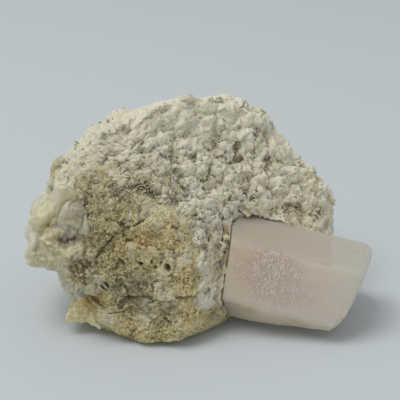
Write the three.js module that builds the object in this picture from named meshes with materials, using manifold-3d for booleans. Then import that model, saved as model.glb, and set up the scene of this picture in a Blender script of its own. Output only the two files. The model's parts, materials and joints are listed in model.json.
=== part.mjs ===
// Morganite crystal on its matrix: one hand specimen, in millimetres, +Z up.
// A short hexagonal prism of pink beryl lies across the lower right of a lump of stained, granular albite rock.
// A crust of bladed white albite (cleavelandite) covers the rock's top, right and back.
// Glassy quartz juts from its left: a lobed mass, a knob below it and a small point above it.
// While it is modelled, X runs to the right, Y away from the front, and the rock stands on Z = 0.
// At the end the whole specimen is moved so that its box stands centred on the origin.

import * as THREE from "three";
import { ImprovedNoise } from "three/addons/math/ImprovedNoise.js";
import { mergeVertices } from "three/addons/utils/BufferGeometryUtils.js";
import Module from "manifold-3d";

const wasm = await Module();
wasm.setup();

// ---- Driving dimensions ----------------------------------------------------------------------------------

const CONTACT_GAP = 0.3; // space left where one mineral touches another
const WELD = 0.001; // corners nearer than this are one corner
const LARGE = 400; // larger than the whole specimen, for cutting tools

// The beryl: a hexagonal prism whose long axis dips to the right and turns a little to the front.
const BERYL_ACROSS_CORNERS = 43;
const BERYL_CENTRE = [35, 24.5, 14]; // a point on the long axis
const BERYL_HEADING = 350; // compass heading of the free end
const BERYL_RISE = -11; // the free end is the lower one
const BERYL_FRONT_RISE = 22; // the front face leans back by this much
const BERYL_ROOT = 25.5; // from the centre back to the end in the rock
const BERYL_ROOT_LEAN = 5; // this end leans out at its top
const BERYL_TIP = 26.5; // from the centre out to the free end
const BERYL_TIP_LEAN = 11; // and so does this one
const BERYL_CLEARANCE = 4; // the underside is broken off flat, this far above the ground

const CRUST_CLEARANCE = 1.5; // the crust stops short of the ground
const QUARTZ_CLEARANCE = 1.7; // and so does the quartz

// A broken lump is a rounded polyhedron. Each face is [compass heading and rise of its outward normal in degrees,
// distance from the lump's centre in millimetres]. Heading 0 faces +X and 90 faces +Y.
const ROCK_EDGES = 26; // higher numbers give sharper edges between the faces
const ROCK_BUMPS = { size: 8, height: 1.6 };
const QUARTZ_EDGES = 12;
const QUARTZ_BUMPS = { size: 8, height: 2 };
const PEBBLE_BUMPS = { size: 6, height: 1 };

const MATRIX = {
  centre: [-14, 34, 26],
  faces: {
    base: [0, -90, 28],
    front: [262, 12, 30],
    frontFoot: [280, -50, 39.5],
    leftFoot: [230, -45, 40],
    rightFoot: [320, -40, 37],
    frontRight: [320, 15, 26.5],
    left: [195, 0, 31],
    brow: [280, 60, 36],
    rightBrow: [327, 46, 26.5],
    innerLeft: [120, 62, 36],
    innerRight: [50, 50, 34],
    right: [0, -10, 48],
    backRight: [45, -5, 44],
    backLeft: [135, -5, 40],
    back: [90, 0, 38],
  },
  edges: ROCK_EDGES,
  bumps: ROCK_BUMPS,
  detail: 10,
};

const CRUST = {
  centre: [-2, 42, 36],
  faces: {
    crown: [90, 74, 49.5],
    crownLeft: [117, 72, 45],
    crownRight: [38, 64, 48],
    frontRight: [300, 25, 21],
    frontLeft: [262, 30, 38],
    front: [262, 0, 34],
    leftShoulder: [170, 42, 52.5],
    left: [184, 12, 55],
    leftUnder: [194, -20, 50],
    leftFoot: [225, -50, 46],
    rightShoulder: [12, 41, 46],
    rightBrow: [350, 18, 53],
    right: [346, -9, 53],
    rightFoot: [320, -45, 40],
    backRight: [42, 12, 50],
    backBrow: [85, 46, 44.5],
    back: [98, 8, 42],
    backLeft: [140, 14, 52],
    backFoot: [75, -42, 45],
    backLeftFoot: [150, -45, 48],
    base: [0, -90, 34],
  },
  edges: ROCK_EDGES,
  bumps: ROCK_BUMPS,
  detail: 11,
};

const QUARTZ_LOBES = {
  centre: [-50, 28, 36],
  faces: {
    left: [188, 4, 15],
    front: [258, 20, 17],
    top: [150, 60, 16],
    under: [200, -62, 15.5],
    right: [0, 10, 10],
    backLeft: [140, 0, 17],
    back: [90, 0, 22],
  },
  edges: QUARTZ_EDGES,
  bumps: QUARTZ_BUMPS,
  detail: 6,
};

const QUARTZ_FOOT = {
  centre: [-45, 22, 20],
  faces: {
    left: [188, 0, 9],
    front: [258, 0, 10],
    top: [0, 90, 14],
    under: [200, -62, 10],
    right: [0, 10, 16],
    back: [90, 0, 22],
  },
  edges: QUARTZ_EDGES,
  bumps: QUARTZ_BUMPS,
  detail: 5,
};

const QUARTZ_KNOB = {
  centre: [-42.5, 16, 10.5],
  faces: {
    left: [180, 20, 5.5],
    front: [270, 20, 6.5],
    back: [90, 20, 14],
    right: [0, 0, 8],
    under: [0, -90, 7],
    top: [30, 80, 8],
  },
  edges: QUARTZ_EDGES,
  bumps: PEBBLE_BUMPS,
  detail: 4,
};

const QUARTZ_POINT = {
  centre: [-51.5, 36, 55],
  faces: {
    left: [180, 20, 4],
    front: [270, 20, 4.5],
    back: [90, 20, 6],
    right: [0, 0, 6],
    under: [0, -90, 6],
    top: [120, 70, 5],
  },
  edges: QUARTZ_EDGES,
  bumps: PEBBLE_BUMPS,
  detail: 3,
};

// ---- Shared makers ---------------------------------------------------------------------------------------

const noise = new ImprovedNoise();

/** The unit vector with a compass heading and a rise above the horizon, both in degrees. */
function direction(heading, rise) {
  const polar = THREE.MathUtils.degToRad(90 - rise);
  const azimuth = THREE.MathUtils.degToRad(heading);
  return new THREE.Vector3(
    Math.sin(polar) * Math.cos(azimuth),
    Math.sin(polar) * Math.sin(azimuth),
    Math.cos(polar),
  );
}

/** A three.js geometry as a manifold-3d solid. */
function solidOf(geometry) {
  const bare = new THREE.BufferGeometry().setAttribute("position", geometry.getAttribute("position"));
  if (geometry.index) bare.setIndex(geometry.index);
  const merged = mergeVertices(bare, WELD);
  return new wasm.Manifold(
    new wasm.Mesh({
      numProp: 3,
      vertProperties: merged.attributes.position.array,
      triVerts: new Uint32Array(merged.index.array),
    }),
  );
}

/** A manifold-3d solid as a three.js geometry. */
function geometryOf(solid) {
  const mesh = solid.getMesh();
  return new THREE.BufferGeometry()
    .setAttribute("position", new THREE.BufferAttribute(mesh.vertProperties, mesh.numProp))
    .setIndex(new THREE.BufferAttribute(mesh.triVerts, 1));
}

/** A closed lump with broken faces and bumps on them, its faces moved out by a margin. */
function lump({ centre, faces, edges, bumps, detail }, margin = 0) {
  const planes = Object.values(faces).map(([heading, rise, distance]) => ({
    normal: direction(heading, rise),
    distance: distance + margin,
  }));
  const geometry = new THREE.IcosahedronGeometry(1, detail);
  const position = geometry.getAttribute("position");
  const ray = new THREE.Vector3();
  for (let i = 0; i < position.count; i++) {
    ray.fromBufferAttribute(position, i).normalize();
    let nearness = 0;
    for (const { normal, distance } of planes) {
      nearness += Math.max(0, normal.dot(ray) / distance) ** edges;
    }
    const reach = nearness ** (-1 / edges);
    const at = ray.clone().multiplyScalar(reach / bumps.size);
    const bump = bumps.height * noise.noise(at.x + centre[0], at.y + centre[1], at.z + centre[2]);
    ray.multiplyScalar(reach + bump);
    position.setXYZ(i, ray.x, ray.y, ray.z);
  }
  return solidOf(geometry.translate(...centre));
}

/** All the room above a height. */
function above(height) {
  return solidOf(new THREE.BoxGeometry(LARGE, LARGE, LARGE).translate(0, 0, LARGE / 2 + height));
}

/** What is left of a solid once its neighbours are cut from it, without any crumbs that come loose. */
function without(solid, ...neighbours) {
  const cut = neighbours.reduce((left, neighbour) => left.subtract(neighbour), solid);
  return cut.decompose().reduce((a, b) => (a.volume() > b.volume() ? a : b));
}

// ---- The minerals ----------------------------------------------------------------------------------------

/** The beryl's own frame: X is the outward normal of its front face, Y points up that face, Z is its length. */
function berylFrame() {
  const along = direction(BERYL_HEADING, BERYL_RISE);
  const facing = direction(270, BERYL_FRONT_RISE);
  facing.addScaledVector(along, -facing.dot(along)).normalize();
  const upward = new THREE.Vector3().crossVectors(along, facing);
  return new THREE.Matrix4().makeBasis(facing, upward, along).setPosition(...BERYL_CENTRE);
}

/** The hexagon across the beryl's length. */
function berylSection(radius) {
  const section = new THREE.Shape();
  for (let corner = 0; corner < 6; corner++) {
    const turn = ((corner + 0.5) * Math.PI) / 3;
    const draw = corner === 0 ? "moveTo" : "lineTo";
    section[draw](radius * Math.cos(turn), radius * Math.sin(turn));
  }
  section.closePath();
  return section;
}

/** Everything past an oblique end of the beryl, in the beryl's own frame. */
function pastEnd(lean, distance) {
  return new THREE.BoxGeometry(LARGE, LARGE, LARGE)
    .rotateX(THREE.MathUtils.degToRad(lean))
    .translate(0, 0, distance + (Math.sign(distance) * LARGE) / 2);
}

/** The hexagonal crystal, grown by a margin on every side when it cuts its own socket. */
function morganite(margin = 0) {
  const radius = BERYL_ACROSS_CORNERS / 2 + margin / Math.cos(Math.PI / 6);
  const endless = new THREE.ExtrudeGeometry(berylSection(radius), { depth: LARGE, bevelEnabled: false });
  const [prism, tip, root] = [
    endless.translate(0, 0, -LARGE / 2),
    pastEnd(-BERYL_TIP_LEAN, BERYL_TIP + margin),
    pastEnd(BERYL_ROOT_LEAN, -BERYL_ROOT - margin),
  ].map((shape) => solidOf(shape.applyMatrix4(berylFrame())));
  return prism.subtract(tip).subtract(root).intersect(above(BERYL_CLEARANCE - margin));
}

/** The stained rock that everything grows on, flat where it stands. */
function matrix() {
  return without(lump(MATRIX).intersect(above(0)), morganite(CONTACT_GAP));
}

/** The bladed crust over the rock, out to the tips of its blades. */
function crust() {
  return without(
    lump(CRUST).intersect(above(CRUST_CLEARANCE)),
    lump(MATRIX, CONTACT_GAP),
    morganite(CONTACT_GAP),
  );
}

/** A piece of quartz, seated on the rock, the crust and the quartz that grew before it. */
function quartz(whole, ...earlier) {
  const standing = whole.intersect(above(QUARTZ_CLEARANCE));
  return without(standing, lump(MATRIX, CONTACT_GAP), lump(CRUST, CONTACT_GAP), ...earlier);
}

function quartzMass(margin = 0) {
  return lump(QUARTZ_LOBES, margin).add(lump(QUARTZ_FOOT, margin));
}

// ---- Assembly --------------------------------------------------------------------------------------------

const specimen = new THREE.Group();

function place(name, solid, look) {
  const mesh = new THREE.Mesh(geometryOf(solid), new THREE.MeshStandardMaterial({ metalness: 0, ...look }));
  mesh.name = name;
  specimen.add(mesh);
}

place("albite_matrix", matrix(), { color: "#a3977a", roughness: 0.9 });
place("cleavelandite_crust", crust(), { color: "#d9d5c4", roughness: 0.7 });
place("morganite_crystal", morganite(), { color: "#dfc4bd", roughness: 0.25 });
place("quartz_mass", quartz(quartzMass()), { color: "#cfc9b4", roughness: 0.3 });
place("quartz_knob", quartz(lump(QUARTZ_KNOB), quartzMass(CONTACT_GAP)), { color: "#c4b88e", roughness: 0.35 });
place("quartz_point", quartz(lump(QUARTZ_POINT), quartzMass(CONTACT_GAP)), { color: "#d6d2c2", roughness: 0.25 });

const box = new THREE.Box3().setFromObject(specimen);
const middle = box.getCenter(new THREE.Vector3());
specimen.position.set(-middle.x, -middle.y, -box.min.z);

export default specimen;
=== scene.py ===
"""Looks of one hand specimen: a morganite crystal on stained albite rock, with cleavelandite and quartz.

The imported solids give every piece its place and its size. Each is replaced here by a mesh with the surface
of the real mineral: broken granular rock, thousands of thin albite blades, glassy quartz and a clear beryl.
Lengths are written in millimetres and turned to metres by MM. Places on the specimen are given as they are
seen from the camera, in a square view 400 units wide, and are found on the solids by a ray from the camera.
"""

from __future__ import annotations

import json
import logging
import math
from contextlib import contextmanager
from dataclasses import astuple, dataclass, fields
from enum import Enum
from functools import cached_property
from typing import Any, Iterator, Sequence

import bmesh
import bpy
import numpy as np
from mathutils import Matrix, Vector
from mathutils.bvhtree import BVHTree
from mathutils.kdtree import KDTree

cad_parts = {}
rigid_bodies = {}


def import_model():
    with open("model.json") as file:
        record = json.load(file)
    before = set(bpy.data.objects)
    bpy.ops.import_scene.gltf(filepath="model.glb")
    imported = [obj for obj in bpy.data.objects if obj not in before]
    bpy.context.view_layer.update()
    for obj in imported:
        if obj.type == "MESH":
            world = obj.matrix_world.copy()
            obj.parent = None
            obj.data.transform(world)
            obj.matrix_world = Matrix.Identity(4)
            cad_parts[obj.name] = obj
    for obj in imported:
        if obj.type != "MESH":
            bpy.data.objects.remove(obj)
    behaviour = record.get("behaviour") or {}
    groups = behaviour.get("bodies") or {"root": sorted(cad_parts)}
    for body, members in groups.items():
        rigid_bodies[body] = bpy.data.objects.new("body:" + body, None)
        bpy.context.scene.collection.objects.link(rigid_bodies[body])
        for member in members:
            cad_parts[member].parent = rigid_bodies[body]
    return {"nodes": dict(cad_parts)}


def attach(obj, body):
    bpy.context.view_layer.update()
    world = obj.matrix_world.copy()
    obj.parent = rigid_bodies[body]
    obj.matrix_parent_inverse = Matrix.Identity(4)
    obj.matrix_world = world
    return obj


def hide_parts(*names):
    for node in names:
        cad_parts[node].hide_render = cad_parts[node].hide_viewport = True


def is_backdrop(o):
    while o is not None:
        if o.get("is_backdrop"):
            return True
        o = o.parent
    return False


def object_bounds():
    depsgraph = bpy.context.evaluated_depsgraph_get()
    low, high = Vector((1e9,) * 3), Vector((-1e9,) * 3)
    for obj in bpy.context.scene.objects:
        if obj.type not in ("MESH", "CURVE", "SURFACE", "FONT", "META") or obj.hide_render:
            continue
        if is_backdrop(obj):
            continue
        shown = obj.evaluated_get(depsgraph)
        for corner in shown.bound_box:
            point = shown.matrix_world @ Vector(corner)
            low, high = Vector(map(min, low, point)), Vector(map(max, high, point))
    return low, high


log = logging.getLogger("specimen")

MM = 0.001
WELD = 0.001 * MM
FAR = 30.0
BROAD = 60
BODY = "root"
RIGHT = Vector((1, 0, 0))
GREY = (0.5, 0.5, 0.5)

ROCK = "albite_matrix"
CRUST = "cleavelandite_crust"
BERYL = "morganite_crystal"
QUARTZ = ("quartz_mass", "quartz_knob", "quartz_point")

Pair = tuple[float, float]
Triple = tuple[float, float, float]
Colour = tuple[float, float, float, float]
Numbers = np.ndarray | float
Piece = bpy.types.Object
Mesh = bpy.types.Mesh
Material = bpy.types.Material
NodeTree = bpy.types.NodeTree
Node = bpy.types.Node
Socket = bpy.types.NodeSocket
Shape = bmesh.types.BMesh
Edge = bmesh.types.BMEdge


# ---- Numbers and meshes ----------------------------------------------------------------------------------


def linear(code: str) -> Colour:
    """Turns an sRGB hex colour such as "#c8b79a" into linear RGBA."""
    channels = [int(code[i : i + 2], 16) / 255 for i in (1, 3, 5)]
    lit = [c / 12.92 if c <= 0.04045 else ((c + 0.055) / 1.055) ** 2.4 for c in channels]
    return (lit[0], lit[1], lit[2], 1.0)


def smoothstep(low: float, high: float, values: np.ndarray) -> np.ndarray:
    """Zero below low, one above high, and smooth between."""
    t = np.clip((values - low) / (high - low), 0.0, 1.0)
    return t * t * (3 - 2 * t)


def fade(low: float, high: float, values: np.ndarray) -> np.ndarray:
    """One below low, zero above high, and smooth between."""
    return 1 - smoothstep(low, high, values)


def within(outline: Sequence[Pair], places: np.ndarray) -> np.ndarray:
    """Which places, rows of x and y, lie inside a closed outline."""
    inside = np.zeros(len(places), dtype=bool)
    x, y = places.T
    for (x0, y0), (x1, y1) in zip(outline, (*outline[1:], outline[0])):
        if y0 != y1:
            inside ^= ((y0 > y) != (y1 > y)) & (x < x0 + (x1 - x0) * (y - y0) / (y1 - y0))
    return inside


def ripple(points: np.ndarray, size: float, rng: np.random.Generator, count: int = 24) -> np.ndarray:
    """Soft noise of a size in mm at each point, a sum of waves, about as often above zero as below."""
    waves = rng.normal(size=(count, 3)) / (size * MM)
    phases = rng.uniform(0, math.tau, count)
    return np.sin(points @ waves.T + phases).sum(axis=1) / count**0.5


def rows_of(items: Any, name: str) -> np.ndarray:
    """A property of three numbers as one row for each item of a mesh."""
    flat = np.zeros(len(items) * 3)
    items.foreach_get(name, flat)
    return flat.reshape(-1, 3)


def points_of(mesh: Mesh) -> np.ndarray:
    """The vertices of a mesh as rows of x, y, z."""
    return rows_of(mesh.vertices, "co")


def normals_of(mesh: Mesh) -> np.ndarray:
    """The vertex normals of a mesh as rows of x, y, z."""
    return rows_of(mesh.vertex_normals, "vector")


def set_points(mesh: Mesh, points: np.ndarray) -> None:
    """Moves the vertices of a mesh to the given rows."""
    mesh.vertices.foreach_set("co", points.astype(np.float32).ravel())
    mesh.update()


def raise_surface(mesh: Mesh, rise: np.ndarray) -> None:
    """Moves each vertex out along its normal by a number of millimetres."""
    set_points(mesh, points_of(mesh) + normals_of(mesh) * (rise * MM)[:, None])


def write(mesh: Mesh, **layers: Numbers) -> None:
    """Stores vertex attributes of the given names: one number for each vertex, or one for all."""
    for name, values in layers.items():
        layer = mesh.attributes.get(name) or mesh.attributes.new(name, "FLOAT", "POINT")
        layer.data.foreach_set("value", np.broadcast_to(values, len(mesh.vertices)).astype(np.float32))


def stored(mesh: Mesh, name: str) -> np.ndarray:
    """The numbers of a vertex attribute."""
    values = np.zeros(len(mesh.vertices))
    mesh.attributes[name].data.foreach_get("value", values)
    return values


def smoothed(mesh: Mesh, rounds: int) -> np.ndarray:
    """The vertices of an even mesh, each moved a number of times to the middle of its neighbours."""
    points = points_of(mesh)
    ends = np.zeros(len(mesh.edges) * 2, dtype=np.int32)
    mesh.edges.foreach_get("vertices", ends)
    first, second = np.concatenate((ends[::2], ends[1::2])), np.concatenate((ends[1::2], ends[::2]))
    share = np.maximum(np.bincount(first, minlength=len(points)), 1)[:, None]
    for _ in range(rounds):
        sums = [np.bincount(first, weights=points[second, axis], minlength=len(points)) for axis in range(3)]
        points = np.stack(sums, axis=1) / share
    return points


def unfold(mesh: Mesh, before: np.ndarray) -> None:
    """Relaxes a surface, ever more widely, where its normals have turned away from those it had before."""
    for rounds in (2, 6, 12):
        turned = fade(0.0, 0.3, (normals_of(mesh) * before).sum(axis=1))
        points = points_of(mesh)
        set_points(mesh, points + (smoothed(mesh, rounds) - points) * turned[:, None])


def cavity(mesh: Mesh, rounds: int) -> np.ndarray:
    """How far each vertex lies under its smoothed surroundings, in millimetres: above zero in a hollow."""
    return ((smoothed(mesh, rounds) - points_of(mesh)) * normals_of(mesh)).sum(axis=1) / MM


@contextmanager
def sculpt(source: Mesh | None, target: Mesh | None) -> Iterator[Shape]:
    """Opens the shape of one mesh, or an empty one, for edits, and writes it to another if there is one."""
    shape = bmesh.new()
    if source is not None:
        shape.from_mesh(source)
    yield shape
    if target is not None:
        shape.to_mesh(target)
    shape.free()


def new_object(name: str, data: bpy.types.ID) -> Piece:
    """Links a mesh, lamp or camera into the scene as an object at the origin."""
    made = bpy.data.objects.new(name, data)
    bpy.context.scene.collection.objects.link(made)
    return made


def settle(piece: Piece) -> None:
    """Turns a piece's modifiers into its plain mesh and removes them."""
    graph = bpy.context.evaluated_depsgraph_get()
    graph.update()
    changed = piece.evaluated_get(graph)
    made = bpy.data.meshes.new_from_object(changed, preserve_all_data_layers=True, depsgraph=graph)
    piece.modifiers.clear()
    old = piece.data
    piece.data = made
    made.name = piece.name
    bpy.data.meshes.remove(old)


def voxelise(piece: Piece, size: float) -> None:
    """Gives a closed piece an even mesh with edges of about the given length in millimetres."""
    even = piece.modifiers.new("even", "REMESH")
    even.mode = "VOXEL"
    even.voxel_size = size * MM
    settle(piece)


def thin_out(piece: Piece, hidden: np.ndarray, keep: float) -> None:
    """Makes the mesh coarser where it can't be seen.

    Args:
        piece: the piece to change.
        hidden: one true or false for each vertex.
        keep: the share of the hidden faces that stays.
    """
    group = piece.vertex_groups.new(name="hidden")
    group.add(np.nonzero(hidden)[0].tolist(), 1.0, "REPLACE")
    coarser = piece.modifiers.new("coarser", "DECIMATE")
    coarser.ratio = 1 - hidden.mean() * (1 - keep)
    coarser.vertex_group = group.name
    settle(piece)
    piece.vertex_groups.clear()


def finished(piece: Piece, finish: Material, node: str | None, smooth: bool = True) -> Piece:
    """Gives a piece its material, shading and body, and hides the solid it stands for.

    Args:
        piece: the finished mesh object.
        finish: its material.
        node: the solid that it replaces, or None.
        smooth: false for hard, flat facets.

    Returns:
        The piece.
    """
    piece.data.materials.clear()
    piece.data.materials.append(finish)
    piece.data.polygons.foreach_set("use_smooth", [smooth] * len(piece.data.polygons))
    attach(piece, BODY)
    if node:
        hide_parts(node)
    piece.data.calc_loop_triangles()
    log.info("%s: %d triangles", piece.name, len(piece.data.loop_triangles))
    return piece


def labels_of(sizes: Any) -> list[str]:
    """The fields of a dataclass as the names of a tree's inputs."""
    return [field.name.replace("_", " ").title() for field in fields(sizes)]


def values_of(sizes: Any, plain: tuple[str, ...]) -> dict[str, Any]:
    """What a tree's inputs are set to: the fields, in metres unless their names end in a plain word."""
    given = zip(labels_of(sizes), astuple(sizes))
    return {label: value * (1 if label.endswith(plain) else MM) for label, value in given}


# ---- Node trees ------------------------------------------------------------------------------------------


class Graph:
    """A node tree, and short ways to add the nodes that recur in it."""

    def __init__(self, tree: NodeTree) -> None:
        """Takes the tree that nodes are added to."""
        self.tree = tree

    def add(self, kind: str, inputs: dict[int | str, Any] | None = None, **settings: Any) -> Node:
        """Adds a node, sets its settings, and sets or links its inputs.

        Args:
            kind: the node's type name.
            inputs: by name or number, each a value, a socket, or a node whose first output is taken.
            settings: property names and their values.

        Returns:
            The new node.
        """
        made = self.tree.nodes.new(kind)
        for name, value in settings.items():
            setattr(made, name, value)
        for key, value in (inputs or {}).items():
            if isinstance(value, Node):
                value = value.outputs[0]
            if isinstance(value, Socket):
                self.tree.links.new(value, made.inputs[key])
            else:
                made.inputs[key].default_value = value
        return made

    def math(self, operation: str, *values: Any, clamp: bool = False) -> Node:
        """A sum, product or the like of sockets and numbers."""
        return self.add("ShaderNodeMath", dict(enumerate(values)), operation=operation, use_clamp=clamp)

    def vector(self, operation: str, *values: Any) -> Socket:
        """A sum or the like of vectors, or the number that a dot product gives."""
        node = self.add("ShaderNodeVectorMath", dict(enumerate(values)), operation=operation)
        return node.outputs["Value" if operation == "DOT_PRODUCT" else "Vector"]

    def scaled(self, vector: Any, by: Any) -> Socket:
        """A vector times a number."""
        return self.add("ShaderNodeVectorMath", {0: vector, "Scale": by}, operation="SCALE").outputs["Vector"]

    def ranged(
        self, value: Any, low: float, high: float, first: float = 0.0, last: float = 1.0, **more: Any
    ) -> Node:
        """A number that goes from first to last as the value goes from low to high."""
        ends = {"Value": value, "From Min": low, "From Max": high, "To Min": first, "To Max": last}
        return self.add("ShaderNodeMapRange", ends, **more)

    def scale(self, size: Any) -> Any:
        """A texture's scale for features of a size: a number of millimetres, or a socket in metres."""
        return self.math("DIVIDE", 1.0, size) if isinstance(size, Socket) else 1 / (size * MM)

    def noise(self, place: Any, size: Any, detail: float, roughness: float = 0.5) -> Node:
        """Noise whose largest features are about the given size."""
        inputs = {"Vector": place, "Scale": self.scale(size), "Detail": detail, "Roughness": roughness}
        return self.add("ShaderNodeTexNoise", inputs)

    def cells(self, place: Any, size: Any) -> Node:
        """Cells of about the given size: their distance, colour and middle."""
        return self.add("ShaderNodeTexVoronoi", {"Vector": place, "Scale": self.scale(size)})


class Geometry(Graph):
    """Geometry nodes that change a piece and take named inputs."""

    def __init__(self, name: str, sockets: dict[str, str]) -> None:
        """Starts a tree that takes and gives a geometry, and takes sockets of the given names and types."""
        super().__init__(bpy.data.node_groups.new(name, "GeometryNodeTree"))
        interface = self.tree.interface
        for label, kind in {"Geometry": "Geometry", **sockets}.items():
            interface.new_socket(label, in_out="INPUT", socket_type="NodeSocket" + kind)
        interface.new_socket("Geometry", in_out="OUTPUT", socket_type="NodeSocketGeometry")
        self.ask = self.tree.nodes.new("NodeGroupInput").outputs
        self.out = self.tree.nodes.new("NodeGroupOutput")

    def run(self, piece: Piece, values: dict[str, Any]) -> None:
        """Changes a piece by the tree with the named inputs, and keeps the result as its mesh."""
        modifier = piece.modifiers.new(self.tree.name, "NODES")
        modifier.node_group = self.tree
        for item in self.tree.interface.items_tree:
            if item.item_type == "SOCKET" and item.in_out == "INPUT" and item.name in values:
                modifier[item.identifier] = values[item.name]
        settle(piece)

    def give(self, geometry: Node) -> None:
        """Makes a node's geometry the result of the tree."""
        self.tree.links.new(geometry.outputs[0], self.out.inputs[0])

    def give_real(self, instances: Node) -> None:
        """Makes instances real, in the material that the tree is given, and gives them as the result."""
        real = self.add("GeometryNodeRealizeInstances", {"Geometry": instances})
        self.give(self.add("GeometryNodeSetMaterial", {"Geometry": real, "Material": self.ask["Finish"]}))

    def attribute(self, name: str, kind: str = "FLOAT") -> Socket:
        """A named attribute of the geometry."""
        return self.add("GeometryNodeInputNamedAttribute", {"Name": name}, data_type=kind).outputs[0]

    def keep(self, geometry: Any, name: str, kind: str, value: Any, domain: str = "POINT") -> Node:
        """Stores a named attribute."""
        inputs = {"Geometry": geometry, "Name": name, "Value": value}
        return self.add("GeometryNodeStoreNamedAttribute", inputs, data_type=kind, domain=domain)

    def random(self, kind: str, low: Any, high: Any, seed: int) -> Socket:
        """A random vector, float or integer between two values."""
        slot = {"FLOAT_VECTOR": 0, "FLOAT": 1, "INT": 2}[kind]
        ends = {2 * slot: low, 2 * slot + 1: high, 8: seed}
        return self.add("FunctionNodeRandomValue", ends, data_type=kind).outputs[slot]

    def scattered(self, densest: Any, share: Any, seed: Any, zone: Any = True) -> Node:
        """Points on the faces of a zone, none nearer to the next than the tree's spacing."""
        inputs = {"Mesh": self.ask["Geometry"], "Selection": zone, "Distance Min": self.ask["Spacing"]}
        inputs |= {"Density Max": densest, "Density Factor": share, "Seed": seed}
        return self.add("GeometryNodeDistributePointsOnFaces", inputs, distribute_method="POISSON")

    def turned(self, stance: Any, angles: Any) -> Node:
        """Turns a stance about its own axes."""
        by = self.add("FunctionNodeEulerToRotation", {0: angles})
        return self.add("FunctionNodeRotateRotation", {0: stance, 1: by}, rotation_space="LOCAL")


class Shader(Graph):
    """The nodes of one material."""

    stain_least = -1.35
    stain_swing = 4.6
    stain_combed = -1.3
    stain_shift = 0.1

    def __init__(self, name: str) -> None:
        """Starts a material, named after the real material and how its surface was made."""
        self.material = bpy.data.materials.new(name)
        self.material.use_nodes = True
        super().__init__(self.material.node_tree)
        self.tree.nodes.clear()
        self.out = self.tree.nodes.new("ShaderNodeOutputMaterial")

    @cached_property
    def place(self) -> Socket:
        """The place on the specimen in metres."""
        return self.add("ShaderNodeTexCoord").outputs["Object"]

    def attribute(self, name: str) -> Socket:
        """A vertex attribute of the piece."""
        return self.add("ShaderNodeAttribute", attribute_name=name).outputs["Fac"]

    def mixed(self, weight: Any, low: Any, high: Any) -> Socket:
        """Mixes two colours, each a hex code or a socket, by a weight between 0 and 1."""
        ends = [linear(end) if isinstance(end, str) else end for end in (low, high)]
        return self.add("ShaderNodeMix", {0: weight, 6: ends[0], 7: ends[1]}, data_type="RGBA").outputs[2]

    def bump(self, height: Any, strength: Any, distance: float) -> Node:
        """Fine relief of a height in millimetres."""
        return self.add("ShaderNodeBump", {"Height": height, "Strength": strength, "Distance": distance * MM})

    def stained(self, colour: Any, finish: Any, marks: Sequence[Mark], patch: float, comb: Any = None) -> Any:
        """Lays stains over a colour, each broken up by its own noise.

        Args:
            colour: the socket that gives the clean colour.
            finish: the finish, which has a hex colour under the name of each stain.
            marks: the stains.
            patch: the size in millimetres of the patches that a stain breaks into.
            comb: a socket between -1 and 1 that keeps stains off where it is high, or None.

        Returns:
            The socket that gives the stained colour.
        """
        least: Any = self.stain_least
        if comb is not None:
            least = self.math("MULTIPLY_ADD", comb, self.stain_combed, least)
        for number, mark in enumerate(marks):
            moved = self.vector("ADD", self.place, (number * self.stain_shift, 0, 0))
            swing = self.math("MULTIPLY_ADD", self.noise(moved, patch, 5.0, 0.65), self.stain_swing, least)
            weight = self.math("MULTIPLY", swing, self.attribute(mark.value), clamp=True)
            colour = self.mixed(weight, colour, getattr(finish, mark.value))
        return colour

    def surface(self, inputs: dict[str, Any]) -> Material:
        """Adds the shader, joins it to the output and gives back the material."""
        shader = self.add("ShaderNodeBsdfPrincipled", inputs)
        self.tree.links.new(shader.outputs[0], self.out.inputs["Surface"])
        return self.material


# ---- The view and the solids -----------------------------------------------------------------------------


@dataclass(frozen=True)
class Viewpoint:
    """Where the camera stands, and the square view that places on the specimen are given in."""

    target: Triple = (-0.3, -7.5, 43.3)
    distance: float = 391.0
    elevation: float = 22.0
    field_of_view: float = 22.0
    width: float = 400.0

    @property
    def forward(self) -> Vector:
        """The direction the camera looks in."""
        rise = math.radians(self.elevation)
        return Vector((0, math.cos(rise), -math.sin(rise)))

    @property
    def up(self) -> Vector:
        """The direction that is up in the view."""
        return RIGHT.cross(self.forward)

    @property
    def position(self) -> Vector:
        """The camera's place in metres."""
        return (Vector(self.target) - self.forward * self.distance) * MM

    @property
    def focal(self) -> float:
        """The distance at which the view has its own width in units."""
        return self.width / 2 / math.tan(math.radians(self.field_of_view) / 2)

    def ray(self, at: Pair) -> Vector:
        """The direction from the camera through a place in the view."""
        half = self.width / 2
        return (self.forward * self.focal + RIGHT * (at[0] - half) + self.up * (half - at[1])).normalized()

    def places(self, points: np.ndarray) -> np.ndarray:
        """Where the view shows each point, as rows of x and y."""
        away = points - np.array(self.position)
        near = self.focal / (away @ np.array(self.forward))
        across, up = away @ np.array(RIGHT), away @ np.array(self.up)
        return self.width / 2 + np.stack((across * near, -up * near), axis=1)


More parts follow.
